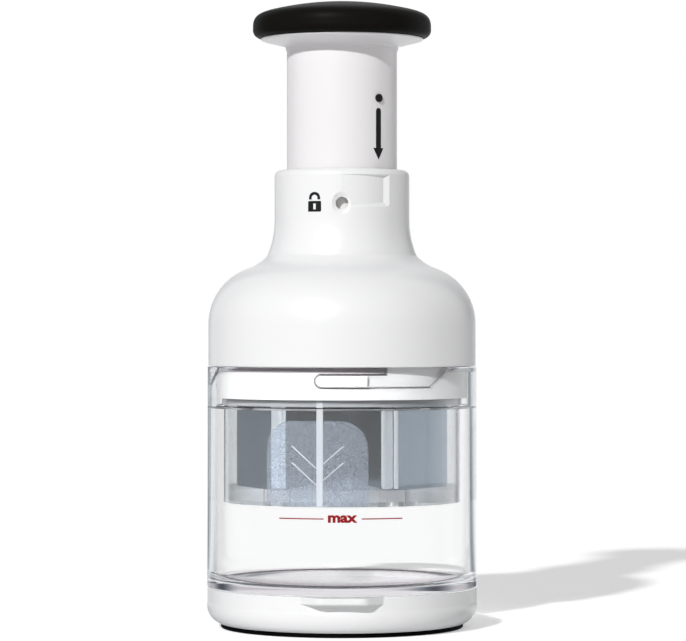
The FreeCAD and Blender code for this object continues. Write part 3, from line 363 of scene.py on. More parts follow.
class Outline:
    """A pen that draws an outline of radius and height, in millimetres."""

    def __init__(self, across: float, height: float) -> None:
        """Put the pen down at a first point."""
        self.mesh = bmesh.new()
        self.first = bmesh.ops.create_vert(self.mesh, co=(across, 0, height))["vert"][0]
        self.pen = self.first
        self.corners: list[tuple[bmesh.types.BMVert, float]] = []

    def line(self, across: float, height: float, rounding: float = 0.0, steps: int = 1) -> "Outline":
        """Draw a straight edge.

        Args:
            across: The end's radius, or place across.
            height: The end's height.
            rounding: Radius that the corner at the end gets.
            steps: Edges in the line.

        Returns:
            The outline, for the next stroke.
        """
        start, end = self.pen.co.copy(), Vector((across, 0, height))
        for step in range(1, steps + 1):
            made = bmesh.ops.extrude_vert_indiv(self.mesh, verts=[self.pen])
            self.pen = made["verts"][0]
            self.pen.co = start.lerp(end, step / steps)
        if rounding:
            self.corners.append((self.pen, rounding))
        return self

    def arc(self, across: float, height: float, degrees: float, steps: int) -> "Outline":
        """Draw an arc round a centre.

        Args:
            across: The centre's radius, or place across.
            height: The centre's height.
            degrees: How far the pen turns, clockwise when seen from the front.
            steps: Edges in the arc.

        Returns:
            The outline, for the next stroke.
        """
        made = bmesh.ops.spin(
            self.mesh, geom=[self.pen], cent=(across, 0, height), axis=(0, 1, 0),
            angle=math.radians(degrees), steps=steps, use_merge=False, use_duplicate=False)
        self.pen = next(part for part in made["geom_last"] if isinstance(part, bmesh.types.BMVert))
        return self

    def round_corners(self) -> None:
        """Turn each marked corner into an arc."""
        for corner, radius in self.corners:
            ways = [(edge.other_vert(corner).co - corner.co).normalized() for edge in corner.link_edges]
            turn = math.pi - ways[0].angle(ways[1])
            bmesh.ops.bevel(
                self.mesh, geom=[corner], offset=radius * math.tan(turn / 2), offset_type="OFFSET",
                segments=max(2, round(math.degrees(turn) / 11)), profile=0.5, affect="VERTICES",
                material=-1, clamp_overlap=False)
        self.corners.clear()

    def close(self) -> "Outline":
        """Join the last point to the first."""
        bmesh.ops.contextual_create(self.mesh, geom=[self.pen, self.first])
        return self

    def lathe(
        self, start: float = 90.0, sectors: Iterable[tuple[float, int]] = ((360.0, 180),),
    ) -> bmesh.types.BMesh:
        """Turn the outline about the axis.

        Args:
            start: Where the turn starts, in degrees to the right from the front.
            sectors: Angle and steps of each sector, in turn.

        Returns:
            The turned mesh with its faces outwards, closed after a full turn.
        """
        self.round_corners()
        first = Matrix.Rotation(math.radians(start - 90), 3, "Z")
        bmesh.ops.rotate(self.mesh, cent=(0, 0, 0), matrix=first, verts=self.mesh.verts[:])
        moving = self.mesh.verts[:] + self.mesh.edges[:]
        for degrees, steps in sectors:
            made = bmesh.ops.spin(
                self.mesh, geom=moving, cent=(0, 0, 0), axis=(0, 0, 1), angle=math.radians(degrees),
                steps=steps, use_merge=False, use_duplicate=False)
            moving = made["geom_last"]
        bmesh.ops.remove_doubles(self.mesh, verts=self.mesh.verts[:], dist=0.0005)
        bmesh.ops.recalc_face_normals(self.mesh, faces=self.mesh.faces[:])
        return self.mesh

    def plate(self, thickness: float) -> bmesh.types.BMesh:
        """Fill the outline and thicken it towards the front.

        Args:
            thickness: How thick the plate is.

        Returns:
            The plate's mesh.
        """
        self.round_corners()
        bmesh.ops.triangle_fill(self.mesh, use_beauty=True, use_dissolve=False, edges=self.mesh.edges[:])
        return thickened(self.mesh, thickness)


def thickened(mesh: bmesh.types.BMesh, thickness: float) -> bmesh.types.BMesh:
    """Thicken a flat mesh in the plane of x and z towards the front."""
    made = bmesh.ops.extrude_face_region(mesh, geom=mesh.faces[:])
    moved = [part for part in made["geom"] if isinstance(part, bmesh.types.BMVert)]
    bmesh.ops.translate(mesh, verts=moved, vec=(0, -thickness, 0))
    bmesh.ops.recalc_face_normals(mesh, faces=mesh.faces[:])
    return mesh


def eased(mesh: bmesh.types.BMesh, width: float, segments: int = 2) -> bmesh.types.BMesh:
    """Round off every edge that turns by more than half a right angle.

    Args:
        mesh: A closed mesh.
        width: How far the rounding reaches.
        segments: Faces across the rounding.

    Returns:
        The same mesh.
    """
    sharp = [edge for edge in mesh.edges if edge.is_manifold and edge.calc_face_angle() > math.radians(45)]
    bmesh.ops.bevel(
        mesh, geom=sharp, offset=width, offset_type="OFFSET", segments=segments, profile=0.5,
        affect="EDGES", material=-1, clamp_overlap=True)
    return mesh


def bar(width: float, depth: float, low: float, high: float, radius: float) -> bmesh.types.BMesh:
    """An upright bar in front of the axis, its front at a radius."""
    mesh = bmesh.new()
    bmesh.ops.create_cube(mesh, size=1.0)
    bmesh.ops.scale(mesh, vec=(width, depth, high - low), verts=mesh.verts[:])
    bmesh.ops.translate(mesh, vec=(0, depth / 2 - radius, (low + high) / 2), verts=mesh.verts[:])
    return mesh


def turned(mesh: bmesh.types.BMesh, degrees: float) -> bmesh.types.BMesh:
    """Turn a mesh about the axis, to the right from the front."""
    turn = Matrix.Rotation(math.radians(degrees), 3, "Z")
    bmesh.ops.rotate(mesh, cent=(0, 0, 0), matrix=turn, verts=mesh.verts[:])
    return mesh


def joined(meshes: Iterable[bmesh.types.BMesh]) -> bmesh.types.BMesh:
    """Put several meshes into the first one."""
    first, *others = meshes
    for other in others:
        carrier = bpy.data.meshes.new("joined_part")
        other.to_mesh(carrier)
        other.free()
        first.from_mesh(carrier)
        bpy.data.meshes.remove(carrier)
    return first


def angle_of(place: Vector) -> float:
    """How far a place lies to the right from the front, in degrees."""
    return math.degrees(math.atan2(place.x, -place.y))


def ramp(value: float, low: float, high: float) -> float:
    """Rise smoothly from 0 at the low value to 1 at the high one."""
    share = min(1.0, max(0.0, (value - low) / (high - low)))
    return share * share * (3 - 2 * share)


def wrapped(mesh: bmesh.types.BMesh, radius: float, degrees: float, pitch: float = 0.5) -> bmesh.types.BMesh:
    """Wrap a flat plate on a cylinder.

    Args:
        mesh: The plate, in the plane of x and z.
        radius: The cylinder's radius.
        degrees: Where the plate's middle goes, to the right from the front.
        pitch: Spacing of the upright cuts that let the plate bend.

    Returns:
        The same mesh, wrapped.
    """
    places = [vert.co.x for vert in mesh.verts]
    for step in range(math.ceil(min(places) / pitch), math.floor(max(places) / pitch) + 1):
        geometry = mesh.verts[:] + mesh.edges[:] + mesh.faces[:]
        bmesh.ops.bisect_plane(
            mesh, geom=geometry, dist=0.001, plane_co=(step * pitch, 0, 0), plane_no=(1, 0, 0))
    for vert in mesh.verts:
        angle = math.radians(degrees) + vert.co.x / radius
        reach = radius - vert.co.y
        vert.co = (reach * math.sin(angle), -reach * math.cos(angle), vert.co.z)
    return mesh


def piece(
    mesh: bmesh.types.BMesh, name: str, body: Body, material: bpy.types.Material,
    stands_for: tuple[str, ...] = (), sharp: float = 35.0,
) -> bpy.types.Object:
    """Make a finished piece out of a mesh in millimetres.

    Args:
        mesh: The piece's mesh, used up by the call.
        name: The piece's name.
        body: The body that it moves with.
        material: Its finish.
        stands_for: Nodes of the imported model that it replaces.
        sharp: Edges that turn by more than this many degrees stay sharp.

    Returns:
        The piece's object.
    """
    bmesh.ops.scale(mesh, vec=(MM, MM, MM), verts=mesh.verts[:])
    data = bpy.data.meshes.new(name)
    mesh.to_mesh(data)
    mesh.free()
    data.shade_smooth()
    data.set_sharp_from_angle(angle=math.radians(sharp))
    data.materials.append(material)
    made = bpy.data.objects.new(name, data)
    bpy.context.scene.collection.objects.link(made)
    made.modifiers.new("even_normals", "WEIGHTED_NORMAL").keep_sharp = True
    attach(made, body.value)
    if stands_for:
        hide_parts(*stands_for)
    log.info("piece %s on %s: %d faces", name, body.value, len(data.polygons))
    return made


def dress(node: str, material: bpy.types.Material) -> bpy.types.Object:
    """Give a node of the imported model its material."""
    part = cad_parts[node]
    part.data.materials.clear()
    part.data.materials.append(material)
    log.info("node %s dressed with %s", node, material.name)
    return part


# Finishes of this chopper

WHITE_SHELL = PlasticFinish("white_gloss_shell", (0.86, 0.86, 0.865), 0.3)
WHITE_PLUNGER = PlasticFinish("white_gloss_plunger", (0.85, 0.83, 0.84), 0.3)
BRIDGE_PLASTIC = PlasticFinish("white_satin_bridge", (0.8, 0.8, 0.8), 0.42)
ACETAL = PlasticFinish("ivory_acetal", (0.76, 0.75, 0.7), 0.45)
CARRIER_PLASTIC = PlasticFinish("slate_carrier", (0.2, 0.22, 0.25), 0.45)
DARK_PLASTIC = PlasticFinish("charcoal_pin", (0.008, 0.008, 0.009), 0.45, specular=0.3)
KNOB_PLASTIC = PlasticFinish("grey_knob_core", (0.2, 0.2, 0.2), 0.5)
KNOB_RUBBER = RubberFinish("soft_black_grip", (0.0068, 0.0062, 0.0054), 0.42, specular=0.03)
FOOT_RUBBER = RubberFinish("black_foot", (0.0015, 0.0015, 0.0015), 0.6, specular=0.05)
CHARCOAL_INK = PlasticFinish("charcoal_ink", (0.006, 0.006, 0.007), 0.5, scale=3000.0, specular=0.3)
RED_INK = PlasticFinish("deep_red_ink", (0.3, 0.004, 0.008), 0.5, scale=3000.0, specular=0.2)
STEEL = SteelFinish("plain_steel", (0.5, 0.5, 0.52), (0.66, 0.66, 0.68), 0.3)
SPRING_STEEL = SteelFinish("spring_wire", (0.4, 0.4, 0.42), (0.55, 0.55, 0.57), 0.28)
BLADE_STEEL = SteelFinish("ground_blade", (0.24, 0.29, 0.34), (0.44, 0.49, 0.53), 0.24)
# The cup's grazing tint is painted shade at its edges; its two further colours are painted shade where the
# cup's mesh layer asks.
CLEAR_CUP = ClearFinish(
    "clear_cup_plastic", (0.99, 0.992, 0.992), (0.84, 0.845, 0.85), 0.42, 0.8,
    painted_half_shade=(0.53, 0.47, 0.5), painted_shade=(0.003, 0.0025, 0.003), ior=1.25, pipe_depth=1.5)
# The guard wall's grazing tint is partly its longer path through the wall, partly painted shade along its
# sides.
GUARD_WALL = ClearFinish(
    "satin_guard_wall", (0.9, 0.925, 0.95), (0.86, 0.86, 0.84), 0.3, 0.75,
    clearness=0.965, roughness=0.04, ior=1.36, stipple_scale=2500.0, depth=0.000004)
# The ribs' lighter grazing tint is a painted highlight along their rounded edges.
GUARD_RIB = ClearFinish(
    "milky_guard_rib", (0.74, 0.76, 0.78), (0.95, 0.96, 0.97), 0.15, 0.5,
    clearness=0.68, roughness=0.08, ior=1.45, stipple_scale=2500.0, depth=0.00001)
GUARD_PAD = ClearFinish(
    "stippled_guard_pad", (0.63, 0.68, 0.75), (0.7, 0.71, 0.72), clearness=0.87, roughness=0.12, ior=1.4,
    stipple_scale=1500.0, depth=0.00008, speckle=0.22)
GUARD_MARK = ClearFinish(
    "raised_guard_line", (0.8, 0.82, 0.85), (0.8, 0.81, 0.82), clearness=0.6, roughness=0.12, ior=1.45,
    stipple_scale=2500.0, depth=0.00001)
GUARD_SEAM = ClearFinish(
    "white_guard_seam", (0.78, 0.8, 0.83), (0.8, 0.81, 0.82), clearness=0.6, roughness=0.2, ior=1.45,
    stipple_scale=2500.0, depth=0.00001)
GUARD_FLOOR = ClearFinish(
    "milky_guard_floor", (0.8, 0.81, 0.82), (0.76, 0.77, 0.77), clearness=0.86, roughness=0.08, ior=1.4,
    stipple_scale=2500.0, depth=0.00001)


@dataclass
class PlungerPrints:
    """Arrow on the plunger that points down to the lock."""

    tube_radius: float = 22.1
    angle: float = 40.9
    stem_width: float = 2.58
    stem_top: float = 207.1
    head_top: float = 191.2
    head_width: float = 5.3
    tip: float = 186.6
    thickness: float = 0.05

    def build(self) -> None:
        """Model the arrow and put it on the tube."""
        half = self.stem_width / 2
        shaft_top = self.stem_top - half
        arrow = Outline(-half, shaft_top)
        arrow.arc(0, shaft_top, 180, 12)
        arrow.line(half, self.head_top)
        arrow.line(self.head_width / 2, self.head_top)
        arrow.line(0, self.tip)
        arrow.line(-self.head_width / 2, self.head_top)
        arrow.line(-half, self.head_top)
        plate = arrow.close().plate(self.thickness)
        wrapped(plate, self.tube_radius, self.angle)
        piece(plate, "arrow_print", Body.KNOB, CHARCOAL_INK.material())


@dataclass
class HeadPrints:
    """Padlock sign beside the lock hole."""

    neck_radius: float = 27.05
    angle: float = -23.6
    body_width: float = 5.6
    body_low: float = 165.7
    body_high: float = 169.9
    shackle_width: float = 4.8
    shackle_bar: float = 1.14
    shackle_top: float = 173.5
    shackle_low: float = 170.5
    keyhole_width: float = 1.1
    keyhole_low: float = 166.6
    keyhole_high: float = 168.9
    thickness: float = 0.05

    def build(self) -> None:
        """Model the padlock's body and shackle and put them on the neck."""
        ink = CHARCOAL_INK.material()
        half = self.body_width / 2
        body = Outline(-half, self.body_low)
        for across, height in ((-half, self.body_high), (half, self.body_high), (half, self.body_low)):
            body.line(across, height, 0.5)
        body.close()
        body.round_corners()
        hole = self.keyhole_width / 2
        body.pen = body.first = bmesh.ops.create_vert(body.mesh, co=(-hole, 0, self.keyhole_low))["vert"][0]
        body.line(-hole, self.keyhole_high).line(hole, self.keyhole_high).line(hole, self.keyhole_low)
        plate = wrapped(body.close().plate(self.thickness), self.neck_radius, self.angle)
        piece(plate, "padlock_body_print", Body.HEAD, ink)
        outer = self.shackle_width / 2
        inner = outer - self.shackle_bar
        bend = self.shackle_top - outer
        shackle = Outline(-outer, self.shackle_low).line(-outer, bend).arc(0, bend, 180, 16)
        shackle.line(outer, self.shackle_low).line(inner, self.shackle_low).line(inner, bend)
        shackle.arc(0, bend, -180, 16).line(-inner, self.shackle_low)
        plate = wrapped(shackle.close().plate(self.thickness), self.neck_radius, self.angle)
        piece(plate, "padlock_shackle_print", Body.HEAD, ink)


@dataclass
class Cup:
    """Clear cup: thick floor, spigot for the base, and three bayonet channels in the rim."""

    radius: float = 54.0
    top: float = 104.5
    low: float = 16.4
    inner: float = 51.5
    floor: float = 19.0
    underside: float = 15.5
    floor_rounding: float = 4.0
    spigot_outer: float = 50.55
    spigot_inner: float = 48.05
    spigot_low: float = 9.0
    edge: float = 0.5
    shade_start: float = 36.0
    rim: float = 50.7
    rim_low: float = 88.7
    step_low: float = 87.9
    chamfer_radius: float = 51.8
    chamfer_low: float = 102.5
    channel_radius: float = 52.4
    slot_low: float = 97.0
    slot_high: float = 101.8
    slot_start: float = -11.6
    mouth_start: float = 19.2
    mouth_end: float = 40.7
    mouth_run: float = 13.2
    wall_width: float = 0.6
    # Where the painted shade lines lie and how wide they are, and how much painted shade each place gets.
    line_middle: float = 0.2
    line_width: float = 0.55
    line_shade: float = 1.0
    chamfer_shade: float = 0.76
    floor_shade: float = 0.28
    underside_shades: tuple[float, float] = (0.4, 0.55)
    foot_shade: float = 0.38
    spacing: float = 120.0
    first_column: float = -12.9
    columns: tuple[tuple[float, int], ...] = (
        (4.5, 15), (26.8, 18), (1.8, 6), (19.2, 12), (2.5, 8), (65.2, 36))

    def outline(self) -> Outline:
        """Draw the cup's section, with close rows where the channels are."""
        pen = Outline(0, self.underside).line(self.shade_start, self.underside)
        pen.line(self.shade_start + 0.5, self.underside).line(self.spigot_inner, self.underside, self.edge)
        pen.line(self.spigot_inner, self.spigot_low).line(self.spigot_outer, self.spigot_low, self.edge)
        pen.line(self.spigot_outer, self.low).line(self.radius, self.low, self.edge)
        pen.line(self.radius, self.floor - 0.1).line(self.radius, self.floor + 0.1)
        pen.line(self.radius, self.top, self.edge).line(self.chamfer_radius, self.top)
        pen.line(self.rim + 0.08, self.chamfer_low + 0.15).line(self.rim, self.chamfer_low)
        pen.line(self.rim, self.slot_high + 0.5, steps=2).line(self.rim, self.slot_low - 1.0, steps=40)
        pen.line(self.rim, self.rim_low + 0.42).line(self.rim, self.rim_low + 0.3)
        pen.line(self.rim, self.rim_low)
        pen.line(self.rim + 0.12, self.rim_low - 0.12).line(self.inner, self.step_low)
        pen.line(self.inner, self.floor, self.floor_rounding)
        start = self.inner - self.floor_rounding
        return pen.line(start - 0.3, self.floor).line(start - 0.6, self.floor).line(0, self.floor)

    def ramp_at(self, height: float) -> float:
        """How far the mouth's ramp has moved to the right at a height, in degrees."""
        share = (height - self.slot_low) / (self.top - self.slot_low)
        return self.mouth_run * min(1.0, max(0.0, share))

    def beside(self, angle: float, height: float) -> float:
        """How far a place of the rim lies outside the nearest channel, less than 0 within one."""
        per_degree = math.radians(self.channel_radius)
        place = (angle - self.slot_start + 20) % self.spacing + self.slot_start - 20
        middle = (self.slot_low + self.slot_high) / 2
        nose = self.slot_high - middle
        from_nose = (place - self.slot_start) * per_degree - nose
        past_ramp = (place - self.mouth_end - self.ramp_at(height)) * per_degree
        past_ramp *= math.sin(math.atan2(self.top - self.slot_low, self.mouth_run * per_degree))
        if from_nose < 0:
            slot = math.hypot(from_nose, height - middle) - nose
        else:
            slot = max(abs(height - middle) - nose, past_ramp)
        mouth = max((self.mouth_start - place) * per_degree, past_ramp, self.slot_low - height)
        return min(slot, mouth)

    def lean(self, vert: bmesh.types.BMVert) -> None:
        """Move a point of the rim round, so that the columns run along the mouths' ramps."""
        angle = angle_of(vert.co)
        place = (angle - self.first_column) % self.spacing
        starts = [0.0]
        for degrees, _ in self.columns:
            starts.append(starts[-1] + degrees)
        rise = min(1.0, max(0.0, (place - starts[3]) / (starts[4] - starts[3])))
        fall = min(1.0, max(0.0, (starts[6] - place) / (starts[6] - starts[5])))
        turn = math.radians(self.ramp_at(vert.co.z) * min(rise, fall))
        vert.co = Matrix.Rotation(turn, 3, "Z") @ vert.co

    def build(self) -> None:
        """Turn the cup, sink the channels into its rim and paint the shade seen through it: dark lines on
        edge, a shaded band and a shaded floor.
        """
        mesh = self.outline().lathe(self.first_column, self.columns * 3)
        # A mesh layer of painted shade: 0 clear, up to 0.5 painted half shade, up to 1 near-black painted
        # shade.
        painted_shade = mesh.verts.layers.float.new(SHADE_LAYER)
        floor_line = self.inner - self.floor_rounding
        for vert in mesh.verts:
            radius = math.hypot(vert.co.x, vert.co.y)
            if vert.co.z > self.rim_low + 1 and radius < self.chamfer_radius + 0.1:
                self.lean(vert)
                outside = self.beside(angle_of(vert.co), vert.co.z)
                cut = ramp(-outside, -self.wall_width / 2, self.wall_width / 2)
                reach = radius + max(0.0, self.channel_radius - radius) * cut
                vert.co.xy = vert.co.xy * (reach / radius)
                # Painted shade: dark lines along the walls of each channel, where the clear rim looks dark on
                # edge.
                off_line = abs(outside - self.line_middle)
                vert[painted_shade] = ramp(-off_line, -self.line_width, 0.1 - self.line_width / 2)
                # Painted shade: a violet-grey band on the chamfer, where the housing shades the rim.
                if vert.co.z > self.chamfer_low + 0.1:
                    vert[painted_shade] = max(vert[painted_shade], self.chamfer_shade * (1 - cut))
            # Painted shade: a dark line at the ledge.
            elif self.rim_low - 0.01 < vert.co.z < self.rim_low + 0.31 and radius < self.rim + 0.01:
                vert[painted_shade] = self.line_shade
            # Painted shade: a dark line round the floor's rounded edge, and a lighter painted shade over the
            # floor for the dim surroundings it mirrors.
            elif self.floor - 0.01 < vert.co.z < self.floor + 0.35 and radius < self.inner:
                vert[painted_shade] = self.line_shade if radius > floor_line - 0.4 else self.floor_shade
            # Painted shade under the floor, darker towards the outside.
            elif abs(vert.co.z - self.underside) < 0.01:
                inner, outer = self.underside_shades
                vert[painted_shade] = outer if radius > self.shade_start + 0.1 else inner
            # Painted shade on the outer wall below the floor.
            elif vert.co.z < self.floor and radius > self.radius - 0.01:
                vert[painted_shade] = self.foot_shade
        made = piece(mesh, "cup_shell", Body.CUP, CLEAR_CUP.material(), ("cup",))
        made.visible_shadow = False


@dataclass
class Guard:
    """Satin cylinder round the blade: ribs inside, two pads with chevrons and a seam outside."""

    radius: float = 47.4
    wall: float = 1.3
    low: float = 50.5
    top: float = 98.5
    edge: float = 0.5
    flange_inner: float = 44.05
    window_top: float = 57.2
    window_half: float = 7.25
    rib_angles: tuple[float, ...] = (-32.4, 23.8, 175.7)
    rib_bars: tuple[tuple[float, float, float], ...] = ((-1.0, 4.6, 2.6), (2.5, 1.7, 1.3))
    rib_low: float = 57.3
    rib_high: float = 94.9
    pad_angles: tuple[float, ...] = (-12.6, 167.4)
    pad_half: float = 20.5
    pad_top: float = 83.9
    pad_corner: float = 11.0
    pad_reach: float = 0.45
    seam_angles: tuple[float, ...] = (-10.3, 169.7)
    seam_width: float = 2.6
    seam_reach: float = 0.9
    seam_high: float = 95.0
    chevron_angles: tuple[float, ...] = (-11.5, 168.5)
    chevron_half: float = 9.8
    chevron_rise: float = 8.6
    chevron_line: float = 0.4
    chevron_tips: tuple[float, ...] = (58.7, 65.1)
    chevron_reach: float = 0.65
    root: float = 0.1
    # A milky ring round the guard; its pale band is a painted highlight that stands in for light the cup's
    # ledge reflects.
    highlight_ring_low: float = 89.3
    highlight_ring_high: float = 91.9
    highlight_ring_reach: float = 0.7

    def wall_mesh(self) -> bmesh.types.BMesh:
        """Turn the wall as a sheet, open its three windows and give it its thickness."""
        pen = Outline(self.radius, self.low).line(self.radius, self.window_top)
        pen.line(self.radius, self.top, self.edge).line(self.flange_inner, self.top)
        starts = [angle - self.window_half for angle in self.rib_angles]
        sectors = []
        for here, following in zip(starts, starts[1:] + [starts[0] + 360]):
            between = following - here - 2 * self.window_half
            sectors += [(2 * self.window_half, 8), (between, round(between / 2))]
        mesh = pen.lathe(starts[0], sectors)
        opened = []
        for face in mesh.faces:
            centre = face.calc_center_median()
            away = min(abs((angle_of(centre) - angle + 180) % 360 - 180) for angle in self.rib_angles)
            if centre.z < self.window_top and away < self.window_half:
                opened.append(face)
        bmesh.ops.delete(mesh, geom=opened, context="FACES")
        wall = next(face for face in mesh.faces if face.calc_center_median().z < self.top - 2)
        if wall.normal.dot(wall.calc_center_median() * Vector((1, 1, 0))) < 0:
            bmesh.ops.reverse_faces(mesh, faces=mesh.faces[:])
        bmesh.ops.solidify(mesh, geom=mesh.faces[:], thickness=self.wall)
        return mesh

    def rib_mesh(self) -> bmesh.types.BMesh:
        """Model one guide rib in front of the axis."""
        inside = self.radius - self.wall + self.root
        bars = []
        for across, width, depth in self.rib_bars:
            mesh = eased(bar(width, depth, self.rib_low, self.rib_high, inside), width * 0.3, 5)
            bmesh.ops.translate(mesh, vec=(across, 0, 0), verts=mesh.verts[:])
            bars.append(mesh)
        return joined(bars)

    def pad_mesh(self) -> bmesh.types.BMesh:
        """Model one round-topped pad, flat."""
        half, low = self.pad_half, self.low + 0.3
        pen = Outline(-half, low).line(-half, self.pad_top, self.pad_corner)
        pen.line(half, self.pad_top, self.pad_corner).line(half, low)
        return eased(pen.close().plate(self.pad_reach + self.root), 0.2)

    def chevron_mesh(self, tip: float) -> bmesh.types.BMesh:
        """Model one chevron, a thin raised line, flat."""
        half, rise, line = self.chevron_half, self.chevron_rise, self.chevron_line
        pen = Outline(0, tip).line(half, tip + rise).line(half + 0.5, tip + rise + 0.1)
        pen.line(half + 0.5, tip + rise + line).line(half - 0.2, tip + rise + line).line(0, tip + line)
        pen.line(0.2 - half, tip + rise + line).line(-half - 0.5, tip + rise + line)
        pen.line(-half - 0.5, tip + rise + 0.1).line(-half, tip + rise)
        return pen.close().plate(self.chevron_reach + self.root)

    def build(self) -> None:
        """Model the guard's pieces and put them round the blade."""
        wall, rib, pad, seam, line = (
            finish.material() for finish in (GUARD_WALL, GUARD_RIB, GUARD_PAD, GUARD_SEAM, GUARD_MARK))
        places = ("front", "back")
        made = [piece(self.wall_mesh(), "guard_wall", Body.GUARD, wall, ("guard_shell",))]
        for name, angle in zip(("left", "right", "back"), self.rib_angles):
            mesh = turned(self.rib_mesh(), angle)
            made.append(piece(mesh, f"guard_rib_{name}", Body.GUARD, rib))
        skin = self.radius - self.root
        # Painted highlight: a milky ring for the pale band of light reflected at the cup's ledge.
        highlight_ring = Outline(skin, self.highlight_ring_low).line(self.radius + self.highlight_ring_reach, self.highlight_ring_low, 0.3)
        highlight_ring.line(self.radius + self.highlight_ring_reach, self.highlight_ring_high, 0.3).line(skin, self.highlight_ring_high)
        made.append(piece(highlight_ring.close().lathe(), "guard_highlight_ring", Body.GUARD, rib))
        depth = self.seam_reach + self.root
        for name, angle, seam_angle, mark_angle in zip(
                places, self.pad_angles, self.seam_angles, self.chevron_angles):
            mesh = wrapped(self.pad_mesh(), skin, angle)
            made.append(piece(mesh, f"guard_pad_{name}", Body.GUARD, pad))
            mesh = bar(self.seam_width, depth, self.low + 0.2, self.seam_high, self.radius + self.seam_reach)
            mesh = turned(eased(mesh, 0.35), seam_angle)
            made.append(piece(mesh, f"guard_seam_{name}", Body.GUARD, seam))
            marks = joined(wrapped(self.chevron_mesh(tip), skin, mark_angle) for tip in self.chevron_tips)
            made.append(piece(marks, f"guard_chevrons_{name}", Body.GUARD, line))
        for part in made:
            part.visible_shadow = False


@dataclass
class CupPrints:
    """Fill mark on the cup: the word and a line at each side."""

    cup_radius: float = 54.0
    word: str = "max"
    word_width: float = 11.5
    word_height: float = 3.0
    word_low: float = 44.9
    line_height: float = 46.4
    line_width: float = 0.45
    line_ends: tuple[tuple[float, float], ...] = ((-25.2, -7.1), (7.6, 24.1))
    thickness: float = 0.04

    def word_plate(self) -> bmesh.types.BMesh:
        """Model the word as a flat plate of its real size."""
        letters = bpy.data.curves.new("fill_word", "FONT")
        letters.body = self.word
        letters.offset = 0.045
        letters.resolution_u = 5
        text = bpy.data.objects.new("fill_word", letters)
        bpy.context.scene.collection.objects.link(text)
        flat = bpy.data.meshes.new_from_object(text)
        bpy.data.objects.remove(text)
        bpy.data.curves.remove(letters)
        mesh = bmesh.new()
        mesh.from_mesh(flat)
        bpy.data.meshes.remove(flat)
        bmesh.ops.remove_doubles(mesh, verts=mesh.verts[:], dist=0.0001)
        low = Vector(min(vert.co[axis] for vert in mesh.verts) for axis in range(3))
        high = Vector(max(vert.co[axis] for vert in mesh.verts) for axis in range(3))
        size = high - low
        bmesh.ops.translate(mesh, verts=mesh.verts[:], vec=(-(low.x + high.x) / 2, -low.y, 0))
        factors = (self.word_width / size.x, self.word_height / size.y, 1)
        bmesh.ops.scale(mesh, verts=mesh.verts[:], vec=factors)
        upright = Matrix.Rotation(math.radians(90), 4, "X")
        bmesh.ops.transform(mesh, matrix=upright, verts=mesh.verts[:])
        bmesh.ops.translate(mesh, verts=mesh.verts[:], vec=(0.3, 0, self.word_low))
        return thickened(mesh, self.thickness)

    def build(self) -> None:
        """Model the mark and put it on the outside of the cup."""
        ink = RED_INK.material()
        word = wrapped(self.word_plate(), self.cup_radius, 0.0)
        piece(word, "fill_word_print", Body.CUP, ink)
        low = self.line_height - self.line_width / 2
        high = self.line_height + self.line_width / 2
        for side, (left, right) in zip(("left", "right"), self.line_ends):
            strip = Outline(left, low).line(left, high).line(right, high).line(right, low)
            plate = wrapped(strip.close().plate(self.thickness), self.cup_radius, 0.0)
            piece(plate, f"fill_line_{side}_print", Body.CUP, ink)


